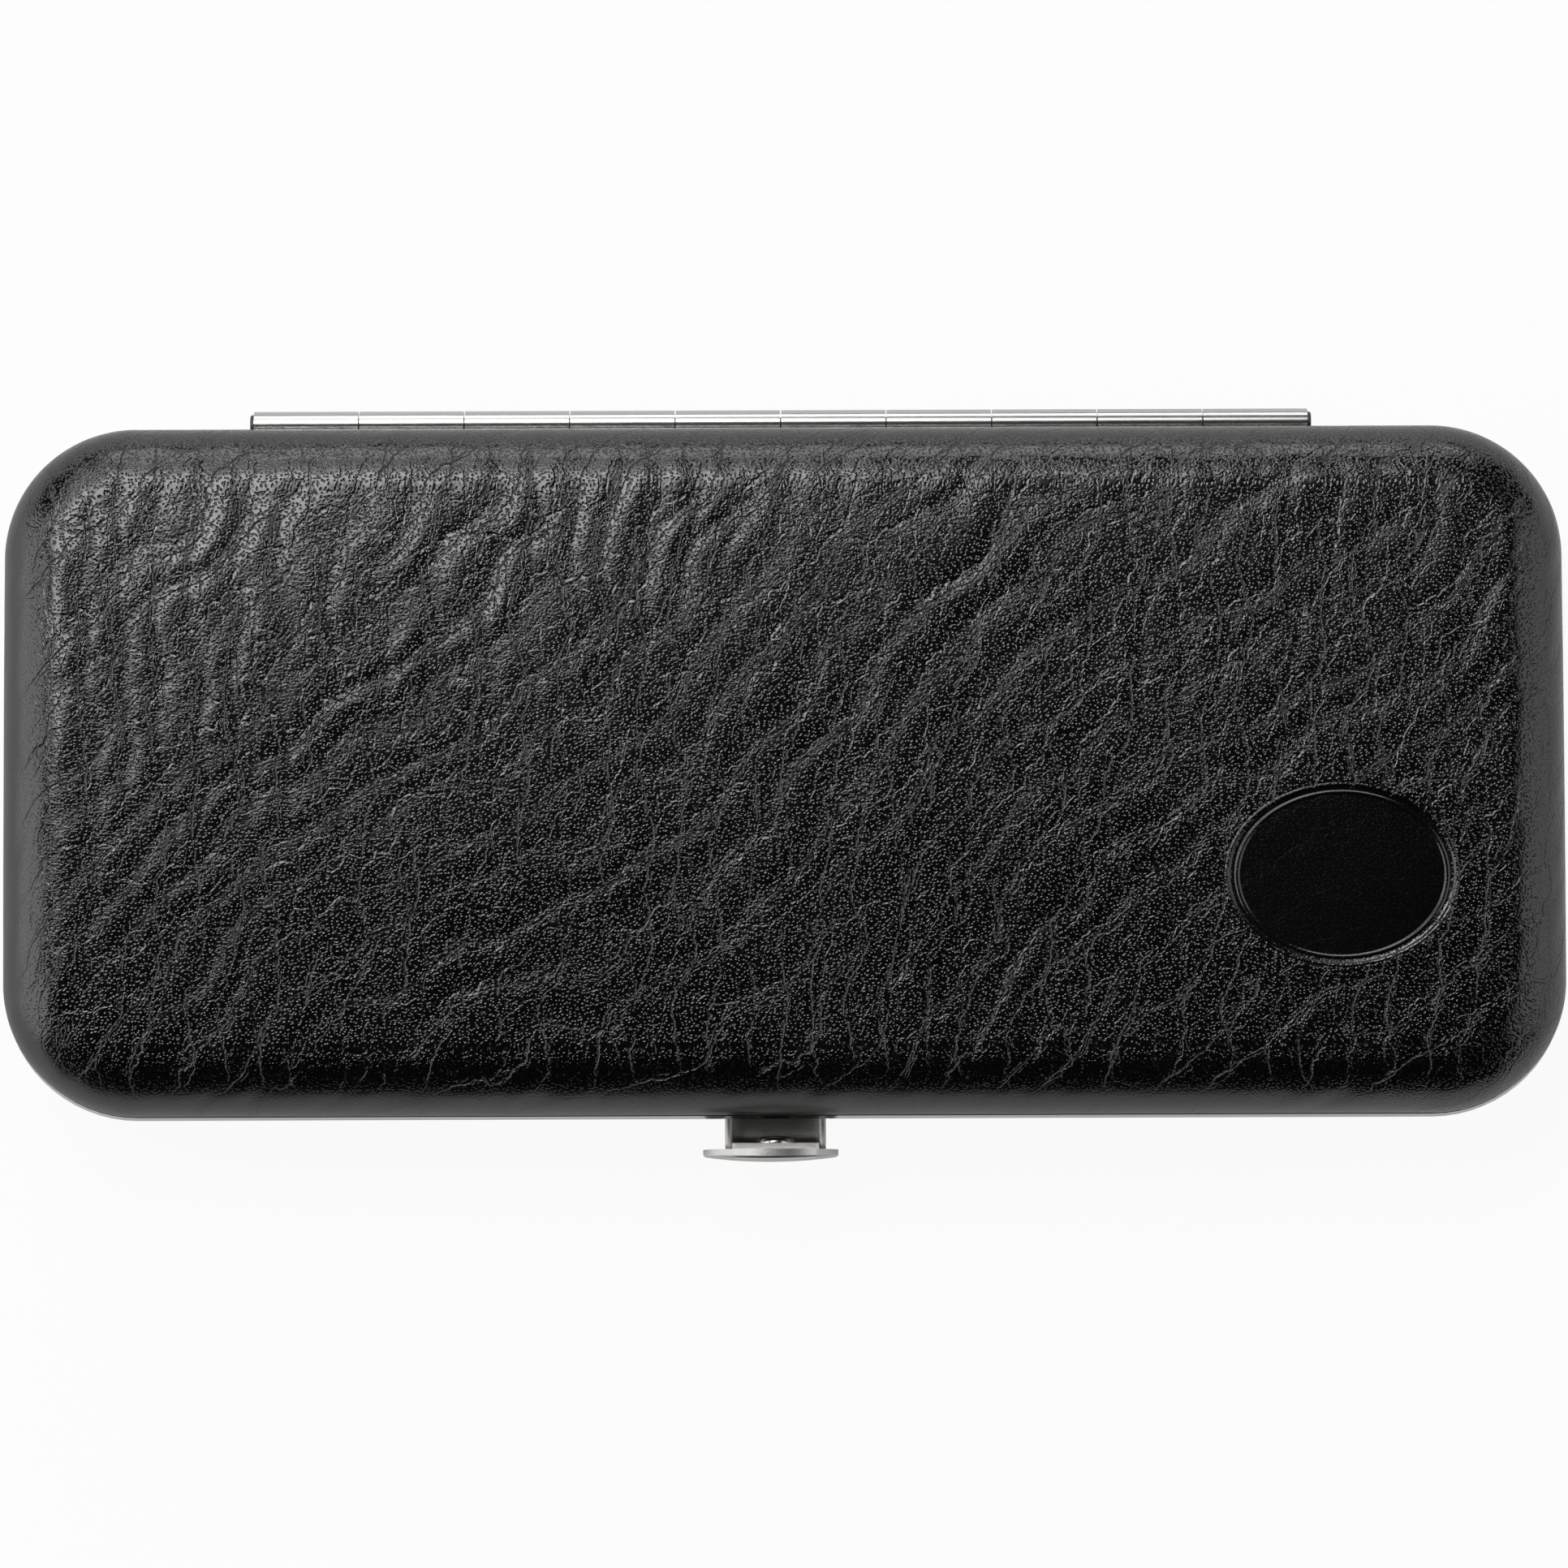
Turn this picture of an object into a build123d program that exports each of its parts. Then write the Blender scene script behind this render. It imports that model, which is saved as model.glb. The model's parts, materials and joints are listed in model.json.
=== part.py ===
from build123d import *
import os
from math import cos, radians, sin, sqrt, tan

os.makedirs("parts", exist_ok=True)

# A hard-shell manicure case covered in leather, with its tools inside. Sizes are in millimetres.
# X runs along the case, Y points to the hinge, Z is up, and the origin is the middle of the underside.

# Case
case_length = 145.0
case_width = 64.0
corner_radius = 12.2
base_height = 10.0
lid_height = 11.0
crown_rise = 1.2
base_edge_radius = 4.5
lid_edge_radius = 6.0
parting_gap = 0.2

# Layers, from the outside in
leather_thickness = 1.0
padding_side = 0.4
padding_top = 1.0
shell_thickness = 0.6
lining_thickness = 0.7

# Metal rims that cover the cut edges and hold the lining
rim_gauge = 0.5
rim_proud = 0.3
rim_bevel = 0.24
rim_bevel_depth = 0.38
rim_depth = 3.5

# Hinge along the back
knuckle_count = 10
knuckle_pitch = 9.89
knuckle_gap = 0.12
knuckle_radius = 1.3
hinge_offset = 0.9
hinge_middle = -0.2
hinge_relief = 0.2
pin_radius = 0.6
running_clearance = 0.05
seat_clearance = 0.02
pin_head_radius = 1.0
pin_head = 0.3

# Catch at the front
catch_middle = -0.9
lever_width = 9.4
lever_gauge = 0.6
cheek_gauge = 0.65
cheek_top = 9.7
lever_clearance = 0.3
catch_reach = 3.2
catch_pin_inset = 5.5
catch_pin_height = 7.6
web_height = 6.1
catch_travel = 10.0
tab_height = 5.2
hook_width = 5.0
hook_back = 1.5
hook_height = 13.2
nose_length = 0.8
nose_clearance = 0.12
plate_width = 12.6
plate_height = 7.4
plate_rim = 0.65
plate_middle = 1.1
plate_centre_height = 10.0
plate_shift = 0.45
rivet_radius = 0.75
rivet_head_radius = 1.8
rivet_head = 0.65
rivet_height = 9.5
bracket_gauge = 0.8
bracket_depth = 8.4
bracket_rivet_spacing = 3.7
small_rivet_radius = 0.6
small_head_radius = 1.05
small_head = 0.5
spring_gauge = 0.3
spring_width = 3.0

# Keeper in the lid that the hook draws down
keeper_gauge = 0.6
keeper_width = 6.4
keeper_ledge = 0.7
keeper_headroom = 1.2
keeper_rivet_spacing = 2.0

# Elastic straps
strap_gauge = 0.8
strap_width = 8.0
strap_play = 0.3
strap_rise = 1.4
strap_seat = 3.0
strap_bend = 0.6
lid_strap_end_room = 39.0

# Play between a tool and what it lies on, and room between the lid's tools and its end walls
tool_play = 0.3
tool_end_room = 3.8

# Nail scissors, in the base with their rings to the left
scissor_tilt = 10.0
scissor_back_room = 5.4
scissor_end_room = 4.8
scissor_shank = 40.0
scissor_blade = 33.0
scissor_gauge = 1.7
scissor_boss = 4.6
ring_radius = 9.3
ring_bar = 1.6
ring_gap = 0.5
shank_height = 2.8
shank_root = 2.4
blade_back = 4.0
blade_gap = 0.05
scissor_opening = 6.0
scissor_screw = 1.1
scissor_screw_head = 2.1
scissor_screw_height = 0.7

# Cuticle nippers, in the base with their handles to the right
nipper_tilt = 3.0
nipper_open = 8.0
nipper_end_room = 3.4
nipper_front_room = 17.1
nipper_handle = 68.0
nipper_jaw = 18.0
nipper_boss = 5.2
nipper_lap = 2.4
nipper_bar = 4.2
nipper_rounding = 1.2
nipper_bow = 7.0
nipper_tip_spread = 4.2
nipper_screw = 1.3
nipper_screw_head = 2.6
jaw_gap = 0.1
leaf_gauge = 0.5
leaf_width = 2.6

# Nail file, in the lid
file_play = 9.0
file_blade_width = 6.6
file_blade_gauge = 1.1
file_handle_length = 44.0
file_handle_width = 8.0
file_tang = 14.0
file_tang_width = 4.0
file_handle_gauge = 3.0

# Cuticle pusher, in the lid
pusher_play = 14.0
pusher_radius = 1.7
spoon_length = 15.0
spoon_width = 5.6
spoon_gauge = 1.0
cleaner_length = 12.0

# Tweezers, in the lid
tweezer_length = 88.0
tweezer_width = 8.6
tweezer_tip_width = 2.4
tweezer_gauge = 0.9
tweezer_spread = 3.0
tweezer_weld = 9.0
tweezer_end_room = 16.0

# Heights and places that follow from the sizes above
parting = base_height
case_height = base_height + lid_height
base_top = parting - parting_gap / 2
lid_bottom = parting + parting_gap / 2
base_seat = base_top - rim_gauge
lid_seat = lid_bottom + rim_gauge
crown_radius = ((case_width / 2) ** 2 + crown_rise ** 2) / (2 * crown_rise)

base_shell_inset = leather_thickness
base_lining_inset = base_shell_inset + shell_thickness
base_inside = base_lining_inset + lining_thickness
lid_shell_side = leather_thickness + padding_side
lid_shell_top = leather_thickness + padding_top
lid_lining_side = lid_shell_side + shell_thickness
lid_lining_top = lid_shell_top + shell_thickness
lid_inside = lid_lining_side + lining_thickness
lid_inside_top = lid_lining_top + lining_thickness

floor = base_inside
base_wall_x = case_length / 2 - base_inside - rim_gauge
base_wall_y = case_width / 2 - base_inside - rim_gauge
lid_wall_x = case_length / 2 - lid_inside - rim_gauge
lid_wall_y = case_width / 2 - lid_inside - rim_gauge

hinge_length = knuckle_count * knuckle_pitch
hinge_start = hinge_middle - hinge_length / 2
hinge_y = case_width / 2 + hinge_offset

front = -case_width / 2
plate_back = front - catch_reach
catch_pin_y = front + catch_pin_inset
hook_y = catch_pin_y + hook_back + lever_gauge / 2
nose_tip = hook_y + lever_gauge / 2 + nose_length
web_middle = web_height + lever_gauge / 2
notch_drop = (catch_pin_inset + catch_reach) * tan(radians(catch_travel))
notch_bottom = web_height - notch_drop
channel_width = lever_width - 2 * cheek_gauge


def ceiling(y):
    """Height of the lid's lining at a distance y from the middle."""
    radius = crown_radius - lid_inside_top
    return case_height - crown_radius + sqrt(radius ** 2 - y ** 2)


def plan_block(inset, low, high):
    """A block with the case's plan, drawn in by inset, from one height to another."""
    with BuildPart() as block:
        with BuildSketch(Plane.XY.offset(low)):
            RectangleRounded(
                case_length - 2 * inset, case_width - 2 * inset, corner_radius - inset
            )
        extrude(amount=high - low)
    return block.part


def base_form(inset):
    """The base as a solid, drawn in by inset all round and underneath."""
    with BuildPart() as form:
        add(plan_block(inset, inset, base_seat))
        fillet(form.faces().sort_by(Axis.Z)[0].edges(), base_edge_radius - inset)
    return form.part


def lid_form(side, top):
    """The lid as a solid with its crown, drawn in by side at the walls and by top at the crown."""
    with BuildPart() as form:
        add(plan_block(side, lid_seat, case_height))
        with BuildSketch(Plane.YZ.offset(-case_length)):
            with Locations((0, case_height - crown_radius)):
                Circle(crown_radius - top)
        extrude(amount=2 * case_length, mode=Mode.INTERSECT)
        fillet(form.faces().sort_by(Axis.Z)[-1].edges(), lid_edge_radius - side)
    return form.part


def rod_x(y, z, radius, start, end):
    """A round rod along X."""
    with BuildPart() as rod:
        with BuildSketch(Plane.YZ.offset(start)):
            with Locations((y, z)):
                Circle(radius)
        extrude(amount=end - start)
    return rod.part


def rod_z(places, radius, low, high):
    """Upright round rods, one at each place."""
    with BuildPart() as rods:
        with BuildSketch(Plane.XY.offset(low)):
            with Locations(places):
                Circle(radius)
        extrude(amount=high - low)
    return rods.part


def rod_y(places, radius, start, end):
    """Round rods along Y, one at each (x, z) place."""
    with BuildPart() as rods:
        with BuildSketch(Plane.XZ.offset(-start)):
            with Locations(places):
                Circle(radius)
        extrude(amount=start - end)
    return rods.part


def strip(path, gauge, middle, width, radius):
    """A bent strip: a path in the YZ plane given a gauge, and a width along X about middle."""
    with BuildPart() as bent:
        with BuildSketch(Plane.YZ.offset(middle)):
            with BuildLine():
                FilletPolyline(*path, radius=radius)
            trace(line_width=gauge)
        extrude(amount=width / 2, both=True)
    return bent.part


def rim_ring(lip_low, lip_high, strip_low, strip_high, inset):
    """An L-section ring: a lip that covers the cut edges, proud of the leather, and a strip inside."""
    with BuildPart() as lip:
        add(plan_block(-rim_proud, lip_low, lip_high))
        ends = lip.faces().filter_by(Axis.Z).sort_by(Axis.Z)
        away = ends[-1] if lip_low >= parting else ends[0]
        chamfer(away.edges(), rim_bevel, rim_bevel_depth, reference=away)
    with BuildPart() as ring:
        add(lip.part)
        add(plan_block(inset, strip_low, strip_high))
        add(plan_block(inset + rim_gauge, strip_low, strip_high), mode=Mode.SUBTRACT)
    return ring.part


def knuckles(first, leaf_low):
    """Every second knuckle of the hinge, each with a leaf that runs into the rim's lip."""
    with BuildPart() as row:
        for step in range(first, knuckle_count, 2):
            with BuildSketch(Plane.YZ.offset(hinge_start + (step + 0.5) * knuckle_pitch)):
                with Locations((hinge_y, parting)):
                    Circle(knuckle_radius)
                with Locations((hinge_y - knuckle_radius - hinge_relief, leaf_low)):
                    Rectangle(
                        2 * (knuckle_radius - pin_radius),
                        rim_gauge,
                        align=(Align.CENTER, Align.MIN),
                    )
            extrude(amount=(knuckle_pitch - knuckle_gap) / 2, both=True)
    return row.part


hinge_channel = rod_x(
    hinge_y,
    parting,
    knuckle_radius + hinge_relief,
    hinge_start - pin_head - hinge_relief,
    hinge_start + hinge_length + pin_head + hinge_relief,
)
pin_bore = rod_x(
    hinge_y,
    parting,
    pin_radius + running_clearance,
    hinge_start - pin_head,
    hinge_start + hinge_length + pin_head,
)

with BuildPart() as notch:
    with BuildSketch(Plane.XZ.offset(-front + 2 * rim_proud)):
        with Locations((catch_middle, notch_bottom)):
            Rectangle(
                lever_width + 2 * lever_clearance,
                parting - notch_bottom,
                align=(Align.CENTER, Align.MIN),
            )
    extrude(amount=-(base_inside + rim_gauge + 4 * rim_proud))
catch_notch = notch.part

# Rivets that hold the catch bracket and the base straps go down through the lining and the shell
bracket_back = -base_wall_y + bracket_depth
bracket_rivet_y = bracket_back - small_head_radius - 0.5 * bracket_gauge
bracket_rivets = [
    (catch_middle + step * bracket_rivet_spacing, bracket_rivet_y) for step in (-1, 0, 1)
]

# Nail scissors' and nippers' places
scissor_angle = radians(scissor_tilt)
ring_offset = ring_radius + ring_bar + ring_gap / 2
ring_end = -base_wall_x + scissor_end_room + ring_radius + ring_bar
ring_line = base_wall_y - scissor_back_room - ring_offset - ring_radius - ring_bar
scissor_x = ring_end + scissor_shank * cos(scissor_angle)
scissor_y = ring_line + scissor_shank * sin(scissor_angle)
scissor_bottom = floor + tool_play
nipper_angle = radians(nipper_tilt)
nipper_x = base_wall_x - nipper_end_room - nipper_handle
nipper_y = -base_wall_y + nipper_front_room
nipper_bottom = floor + tool_play
nipper_top = nipper_bottom + 2 * nipper_lap + blade_gap

# Straps of the base: each has a place along X, a middle, a half span between rivets and a height
ring_edge = ring_end + ring_offset * sin(scissor_angle) + ring_radius + ring_bar
scissor_strap_x = ring_edge + ring_gap + strap_width / 2
scissor_strap_run = (scissor_x - scissor_strap_x) / cos(scissor_angle)
scissor_strap_y = scissor_y - scissor_strap_run * sin(scissor_angle)
scissor_strap_half = (
    ring_offset * scissor_strap_run / scissor_shank
    + shank_root
    + scissor_strap_run * tan(radians(scissor_opening))
    + strap_play
    + strap_gauge
    + strap_rise
    + strap_seat / 2
)
nipper_strap_x = nipper_x + nipper_handle / 2
nipper_strap_y = nipper_y + nipper_handle / 2 * tan(nipper_angle)
nipper_strap_half = (
    nipper_bow
    + nipper_bar / 2
    + nipper_handle / 2 * tan(radians(nipper_open / 2))
    + strap_play
    + strap_gauge
    + strap_rise
    + strap_seat / 2
)
scissor_strap_rivets = [
    (scissor_strap_x, scissor_strap_y - scissor_strap_half),
    (scissor_strap_x, scissor_strap_y + scissor_strap_half),
]
nipper_strap_rivets = [
    (nipper_strap_x, nipper_strap_y - nipper_strap_half),
    (nipper_strap_x, nipper_strap_y + nipper_strap_half),
]
base_rivets = bracket_rivets + scissor_strap_rivets + nipper_strap_rivets

# Tools of the lid, from the back to the front: half width and height of each
file_size = (file_handle_width / 2, file_handle_gauge)
pusher_size = (spoon_width / 2, 2 * pusher_radius)
tweezer_size = (tweezer_width / 2, 2 * tweezer_gauge + tweezer_spread)
tool_sizes = [file_size, pusher_size, tweezer_size]

# The straps' loops share out the flat part of the lid, with seats of one length between them
lid_flat = case_width / 2 - lid_edge_radius - seat_clearance
loop_halves = [half + strap_play + strap_gauge / 2 + strap_rise for half, height in tool_sizes]
lid_seat_length = 2 * (lid_flat - sum(loop_halves)) / (len(tool_sizes) + 1)
file_middle = lid_flat - lid_seat_length - loop_halves[0]
pusher_middle = file_middle - loop_halves[0] - lid_seat_length - loop_halves[1]
tweezer_middle = pusher_middle - loop_halves[1] - lid_seat_length - loop_halves[2]
lid_strap_x = lid_wall_x - lid_strap_end_room


def tool_top(middle, half):
    """Height of the top of a tool that lies under the lid's lining."""
    return ceiling(abs(middle) + half) - tool_play


def tool_height(middle, size):
    """Height of a lid tool's middle."""
    half, height = size
    return tool_top(middle, half) - height / 2


def seat_height(y):
    """Height of a lid strap's middle plane where it lies on the lining."""
    return ceiling(y) - seat_clearance - strap_gauge / 2


# A lid strap lies on the lining between the tools and drops round each tool in a loop
lid_strap_path = []
lid_seats = []
seat_back = lid_flat
for middle, (half, height) in zip((file_middle, pusher_middle, tweezer_middle), tool_sizes):
    leg = half + strap_play + strap_gauge / 2
    low = tool_top(middle, half) - height - strap_play - strap_gauge / 2
    seat_ahead = middle + leg + strap_rise
    level = seat_height(max(abs(seat_back), abs(seat_ahead)))
    lid_seats.append(((seat_back + seat_ahead) / 2, level))
    lid_strap_path += [(seat_back, level), (seat_ahead, level)]
    lid_strap_path += [(middle + leg, low), (middle - leg, low)]
    seat_back = middle - leg - strap_rise
level = seat_height(lid_flat)
lid_seats.append((seat_back - lid_seat_length / 2, level))
lid_strap_path += [(seat_back, level), (-lid_flat, level)]
lid_strap_rivets = [(side * lid_strap_x, y) for side in (-1, 1) for y, level in lid_seats]
keeper_rivets = [
    (catch_middle + side * keeper_rivet_spacing, lid_bottom + rim_depth * 0.6) for side in (-1, 1)
]
keeper_back = -lid_wall_y
shell_front = front + lid_shell_side

# Base: leather, shell, lining and rim
with BuildPart() as base_leather:
    add(base_form(0))
    add(base_form(base_shell_inset), mode=Mode.SUBTRACT)
    add(hinge_channel, mode=Mode.SUBTRACT)
    add(catch_notch, mode=Mode.SUBTRACT)

with BuildPart() as base_shell:
    add(base_form(base_shell_inset))
    add(base_form(base_lining_inset), mode=Mode.SUBTRACT)
    add(hinge_channel, mode=Mode.SUBTRACT)
    add(catch_notch, mode=Mode.SUBTRACT)
    add(rod_z(base_rivets, small_rivet_radius, 0, floor), mode=Mode.SUBTRACT)

with BuildPart() as base_lining:
    add(base_form(base_lining_inset))
    add(base_form(base_inside), mode=Mode.SUBTRACT)
    add(catch_notch, mode=Mode.SUBTRACT)
    add(rod_z(base_rivets, small_rivet_radius, 0, floor), mode=Mode.SUBTRACT)

with BuildPart() as base_rim:
    add(rim_ring(base_seat, base_top, base_top - rim_depth, base_top, base_inside))
    add(hinge_channel, mode=Mode.SUBTRACT)
    add(knuckles(1, base_seat))
    add(pin_bore, mode=Mode.SUBTRACT)
    add(catch_notch, mode=Mode.SUBTRACT)

with BuildPart() as hinge_pin:
    add(rod_x(hinge_y, parting, pin_radius, hinge_start, hinge_start + hinge_length))
    add(rod_x(hinge_y, parting, pin_head_radius, hinge_start - pin_head, hinge_start))
    add(
        rod_x(
            hinge_y,
            parting,
            pin_head_radius,
            hinge_start + hinge_length,
            hinge_start + hinge_length + pin_head,
        )
    )
    fillet(hinge_pin.faces().sort_by(Axis.X)[0].edges(), pin_head * 0.6)
    fillet(hinge_pin.faces().sort_by(Axis.X)[-1].edges(), pin_head * 0.6)

# Lid: leather over a thin pad, shell, lining and rim
with BuildPart() as lid_leather:
    add(lid_form(0, 0))
    add(lid_form(leather_thickness, leather_thickness), mode=Mode.SUBTRACT)
    add(hinge_channel, mode=Mode.SUBTRACT)

with BuildPart() as lid_padding:
    add(lid_form(leather_thickness, leather_thickness))
    add(lid_form(lid_shell_side, lid_shell_top), mode=Mode.SUBTRACT)

with BuildPart() as lid_shell:
    add(lid_form(lid_shell_side, lid_shell_top))
    add(lid_form(lid_lining_side, lid_lining_top), mode=Mode.SUBTRACT)
    add(rod_z(lid_strap_rivets, small_rivet_radius, parting, case_height), mode=Mode.SUBTRACT)
    add(rod_y(keeper_rivets, small_rivet_radius, front, keeper_back), mode=Mode.SUBTRACT)

with BuildPart() as lid_lining:
    add(lid_form(lid_lining_side, lid_lining_top))
    add(lid_form(lid_inside, lid_inside_top), mode=Mode.SUBTRACT)
    add(rod_z(lid_strap_rivets, small_rivet_radius, parting, case_height), mode=Mode.SUBTRACT)
    add(rod_y(keeper_rivets, small_rivet_radius, front, keeper_back), mode=Mode.SUBTRACT)

with BuildPart() as lid_rim:
    add(rim_ring(lid_bottom, lid_seat, lid_bottom, lid_bottom + rim_depth, lid_inside))
    add(hinge_channel, mode=Mode.SUBTRACT)
    add(knuckles(0, lid_bottom))
    add(pin_bore, mode=Mode.SUBTRACT)
    add(rod_y(keeper_rivets, small_rivet_radius, front, keeper_back), mode=Mode.SUBTRACT)

# Catch: a channel-shaped lever on a pin, with the thumb plate outside and the hook inside
tab_y = plate_back + lever_gauge / 2
web_path = [
    (tab_y, web_height + tab_height),
    (tab_y, web_middle),
    (hook_y, web_middle),
]
hook_path = [
    (catch_pin_y, web_middle),
    (hook_y, web_middle),
    (hook_y, hook_height - lever_gauge / 2),
    (nose_tip, hook_height - lever_gauge / 2),
]
cheek_outline = [
    (plate_back, cheek_top),
    (plate_back, web_height + lever_gauge),
    (plate_back + lever_gauge, web_height),
    (hook_y, web_height),
    (hook_y, catch_pin_height + lever_gauge),
    (catch_pin_y + lever_gauge, cheek_top),
]
lever_side = lever_width / 2


def cheek(middle):
    """One of the lever's two cheeks, with its upper edges rounded."""
    with BuildPart() as plate:
        with BuildSketch(Plane.YZ.offset(middle)) as outline:
            with BuildLine():
                Polyline(*cheek_outline, close=True)
            make_face()
            fillet(outline.vertices().group_by(Axis.Y)[-1], lever_gauge)
        extrude(amount=cheek_gauge / 2, both=True)
        fillet(plate.edges().filter_by(Axis.Y).group_by(Axis.Z)[-1], cheek_gauge * 0.4)
    return plate.part


with BuildPart() as catch_lever:
    add(strip(web_path, lever_gauge, catch_middle, channel_width, 2 * lever_gauge))
    add(strip(hook_path, lever_gauge, catch_middle, hook_width, lever_gauge * 0.8))
    for side in (-1, 1):
        add(cheek(catch_middle + side * (lever_side - cheek_gauge / 2)))
    add(
        rod_x(
            catch_pin_y,
            catch_pin_height,
            pin_radius + running_clearance,
            catch_middle - lever_width,
            catch_middle + lever_width,
        ),
        mode=Mode.SUBTRACT,
    )
    add(
        rod_y([(catch_middle, rivet_height)], rivet_radius, plate_back, plate_back + 2 * lever_gauge),
        mode=Mode.SUBTRACT,
    )

plate_x = catch_middle - plate_shift
plate_bulge = plate_middle - plate_rim
plate_sphere = ((plate_width / 2) ** 2 + plate_bulge ** 2) / (2 * plate_bulge)
with BuildPart() as dome:
    with Locations((plate_x, plate_back - plate_middle + plate_sphere, plate_centre_height)):
        Sphere(plate_sphere)

with BuildPart() as thumb_plate:
    with BuildSketch(Plane.XZ.offset(-plate_back)):
        with Locations((plate_x, plate_centre_height)):
            Ellipse(plate_width / 2, plate_height / 2)
    extrude(amount=plate_middle)
    add(dome.part, mode=Mode.INTERSECT)
    fillet(thumb_plate.faces().sort_by(Axis.Y)[0].edges(), plate_rim * 0.45)
    add(
        rod_y([(catch_middle, rivet_height)], rivet_radius, plate_back - plate_rim, plate_back),
        mode=Mode.SUBTRACT,
    )

with BuildPart() as thumb_rivet:
    head_y = plate_back + lever_gauge
    add(rod_y([(catch_middle, rivet_height)], rivet_radius, plate_back - plate_rim, head_y))
    add(rod_y([(catch_middle, rivet_height)], rivet_head_radius, head_y, head_y + rivet_head))
    fillet(thumb_rivet.faces().sort_by(Axis.Y)[-1].edges(), rivet_head * 0.9)

bracket_half = lever_side + running_clearance * 2 + bracket_gauge
bracket_front = front + base_edge_radius + seat_clearance
spring_end = -base_wall_y + lever_clearance
with BuildPart() as catch_bracket:
    with BuildSketch(Plane.XY.offset(floor)):
        with Locations((catch_middle, bracket_front)):
            Rectangle(
                2 * bracket_half, bracket_back - bracket_front, align=(Align.CENTER, Align.MIN)
            )
    extrude(amount=bracket_gauge)
    for side in (-1, 1):
        with BuildSketch(Plane.YZ.offset(catch_middle + side * (bracket_half - bracket_gauge / 2))):
            with Locations((bracket_front, floor)):
                Rectangle(
                    2 * (catch_pin_y - bracket_front),
                    catch_pin_height - floor,
                    align=(Align.MIN, Align.MIN),
                )
            with Locations((catch_pin_y, catch_pin_height)):
                Circle(2.5 * pin_radius)
        extrude(amount=bracket_gauge / 2, both=True)
    add(
        rod_x(
            catch_pin_y,
            catch_pin_height,
            pin_radius + seat_clearance,
            catch_middle - lever_width,
            catch_middle + lever_width,
        ),
        mode=Mode.SUBTRACT,
    )
    add(
        rod_z(bracket_rivets, small_rivet_radius, floor, floor + bracket_gauge), mode=Mode.SUBTRACT
    )

with BuildPart() as catch_pin:
    pin_end = bracket_half + running_clearance
    add(
        rod_x(
            catch_pin_y,
            catch_pin_height,
            pin_radius,
            catch_middle - pin_end,
            catch_middle + pin_end,
        )
    )
    for low in (catch_middle - pin_end - pin_head, catch_middle + pin_end):
        add(rod_x(catch_pin_y, catch_pin_height, pin_head_radius, low, low + pin_head))

spring_foot = floor + bracket_gauge + spring_gauge / 2
spring_top = web_height - spring_gauge / 2 - running_clearance
spring_path = [
    (bracket_back - seat_clearance, spring_foot),
    (bracket_back - 3.2 * small_head_radius, spring_foot),
    (spring_end + 2 * bracket_gauge, spring_top),
    (spring_end, spring_top),
]
with BuildPart() as catch_spring:
    add(strip(spring_path, spring_gauge, catch_middle, spring_width, spring_gauge * 2))
    add(
        rod_z(bracket_rivets, small_rivet_radius, floor, floor + 2 * bracket_gauge),
        mode=Mode.SUBTRACT,
    )

with BuildPart() as catch_rivets:
    for index, place in enumerate(bracket_rivets):
        seat = floor + bracket_gauge + (spring_gauge if index == 1 else 0)
        add(rod_z([place], small_rivet_radius, leather_thickness, seat))
        add(rod_z([place], small_head_radius, seat, seat + small_head))

# Keeper: a hooked strip riveted inside the lid's front wall
ledge_tip = nose_tip + nose_clearance
ledge_y = ledge_tip + keeper_ledge - keeper_gauge / 2
ledge_height = hook_height - lever_gauge - 2 * nose_clearance - keeper_gauge / 2
keeper_top = hook_height + keeper_headroom
keeper_path = [
    (keeper_back + keeper_gauge / 2, lid_bottom + 2 * parting_gap),
    (keeper_back + keeper_gauge / 2, keeper_top),
    (ledge_y, keeper_top),
    (ledge_y, ledge_height),
    (ledge_tip, ledge_height),
]
with BuildPart() as lid_keeper:
    add(
        strip(
            keeper_path,
            keeper_gauge,
            catch_middle,
            keeper_width,
            [0.8 * keeper_gauge, 0.8 * keeper_gauge, keeper_gauge * 0.55],
        )
    )
    add(
        rod_y(keeper_rivets, small_rivet_radius, keeper_back, keeper_back + keeper_gauge),
        mode=Mode.SUBTRACT,
    )

with BuildPart() as keeper_rivet_pair:
    add(rod_y(keeper_rivets, small_rivet_radius, shell_front, keeper_back + keeper_gauge))
    add(
        rod_y(
            keeper_rivets,
            small_head_radius,
            keeper_back + keeper_gauge,
            keeper_back + keeper_gauge + small_head,
        )
    )


def base_strap(x, middle, half, tool_height):
    """A strap over a tool that lies in the base."""
    low = floor + seat_clearance + strap_gauge / 2
    high = tool_height + strap_play + strap_gauge / 2
    outer = half + strap_seat / 2
    foot = half - strap_seat / 2
    bend = foot - strap_rise
    path = [
        (middle - outer, low),
        (middle - foot, low),
        (middle - bend, high),
        (middle + bend, high),
        (middle + foot, low),
        (middle + outer, low),
    ]
    return strip(path, strap_gauge, x, strap_width, strap_bend)


scissor_top = scissor_bottom + 2 * ring_bar
with BuildPart() as scissor_strap:
    add(base_strap(scissor_strap_x, scissor_strap_y, scissor_strap_half, scissor_top))
    add(rod_z(scissor_strap_rivets, small_rivet_radius, 0, parting), mode=Mode.SUBTRACT)

with BuildPart() as nipper_strap:
    add(base_strap(nipper_strap_x, nipper_strap_y, nipper_strap_half, nipper_top))
    add(rod_z(nipper_strap_rivets, small_rivet_radius, 0, parting), mode=Mode.SUBTRACT)

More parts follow.
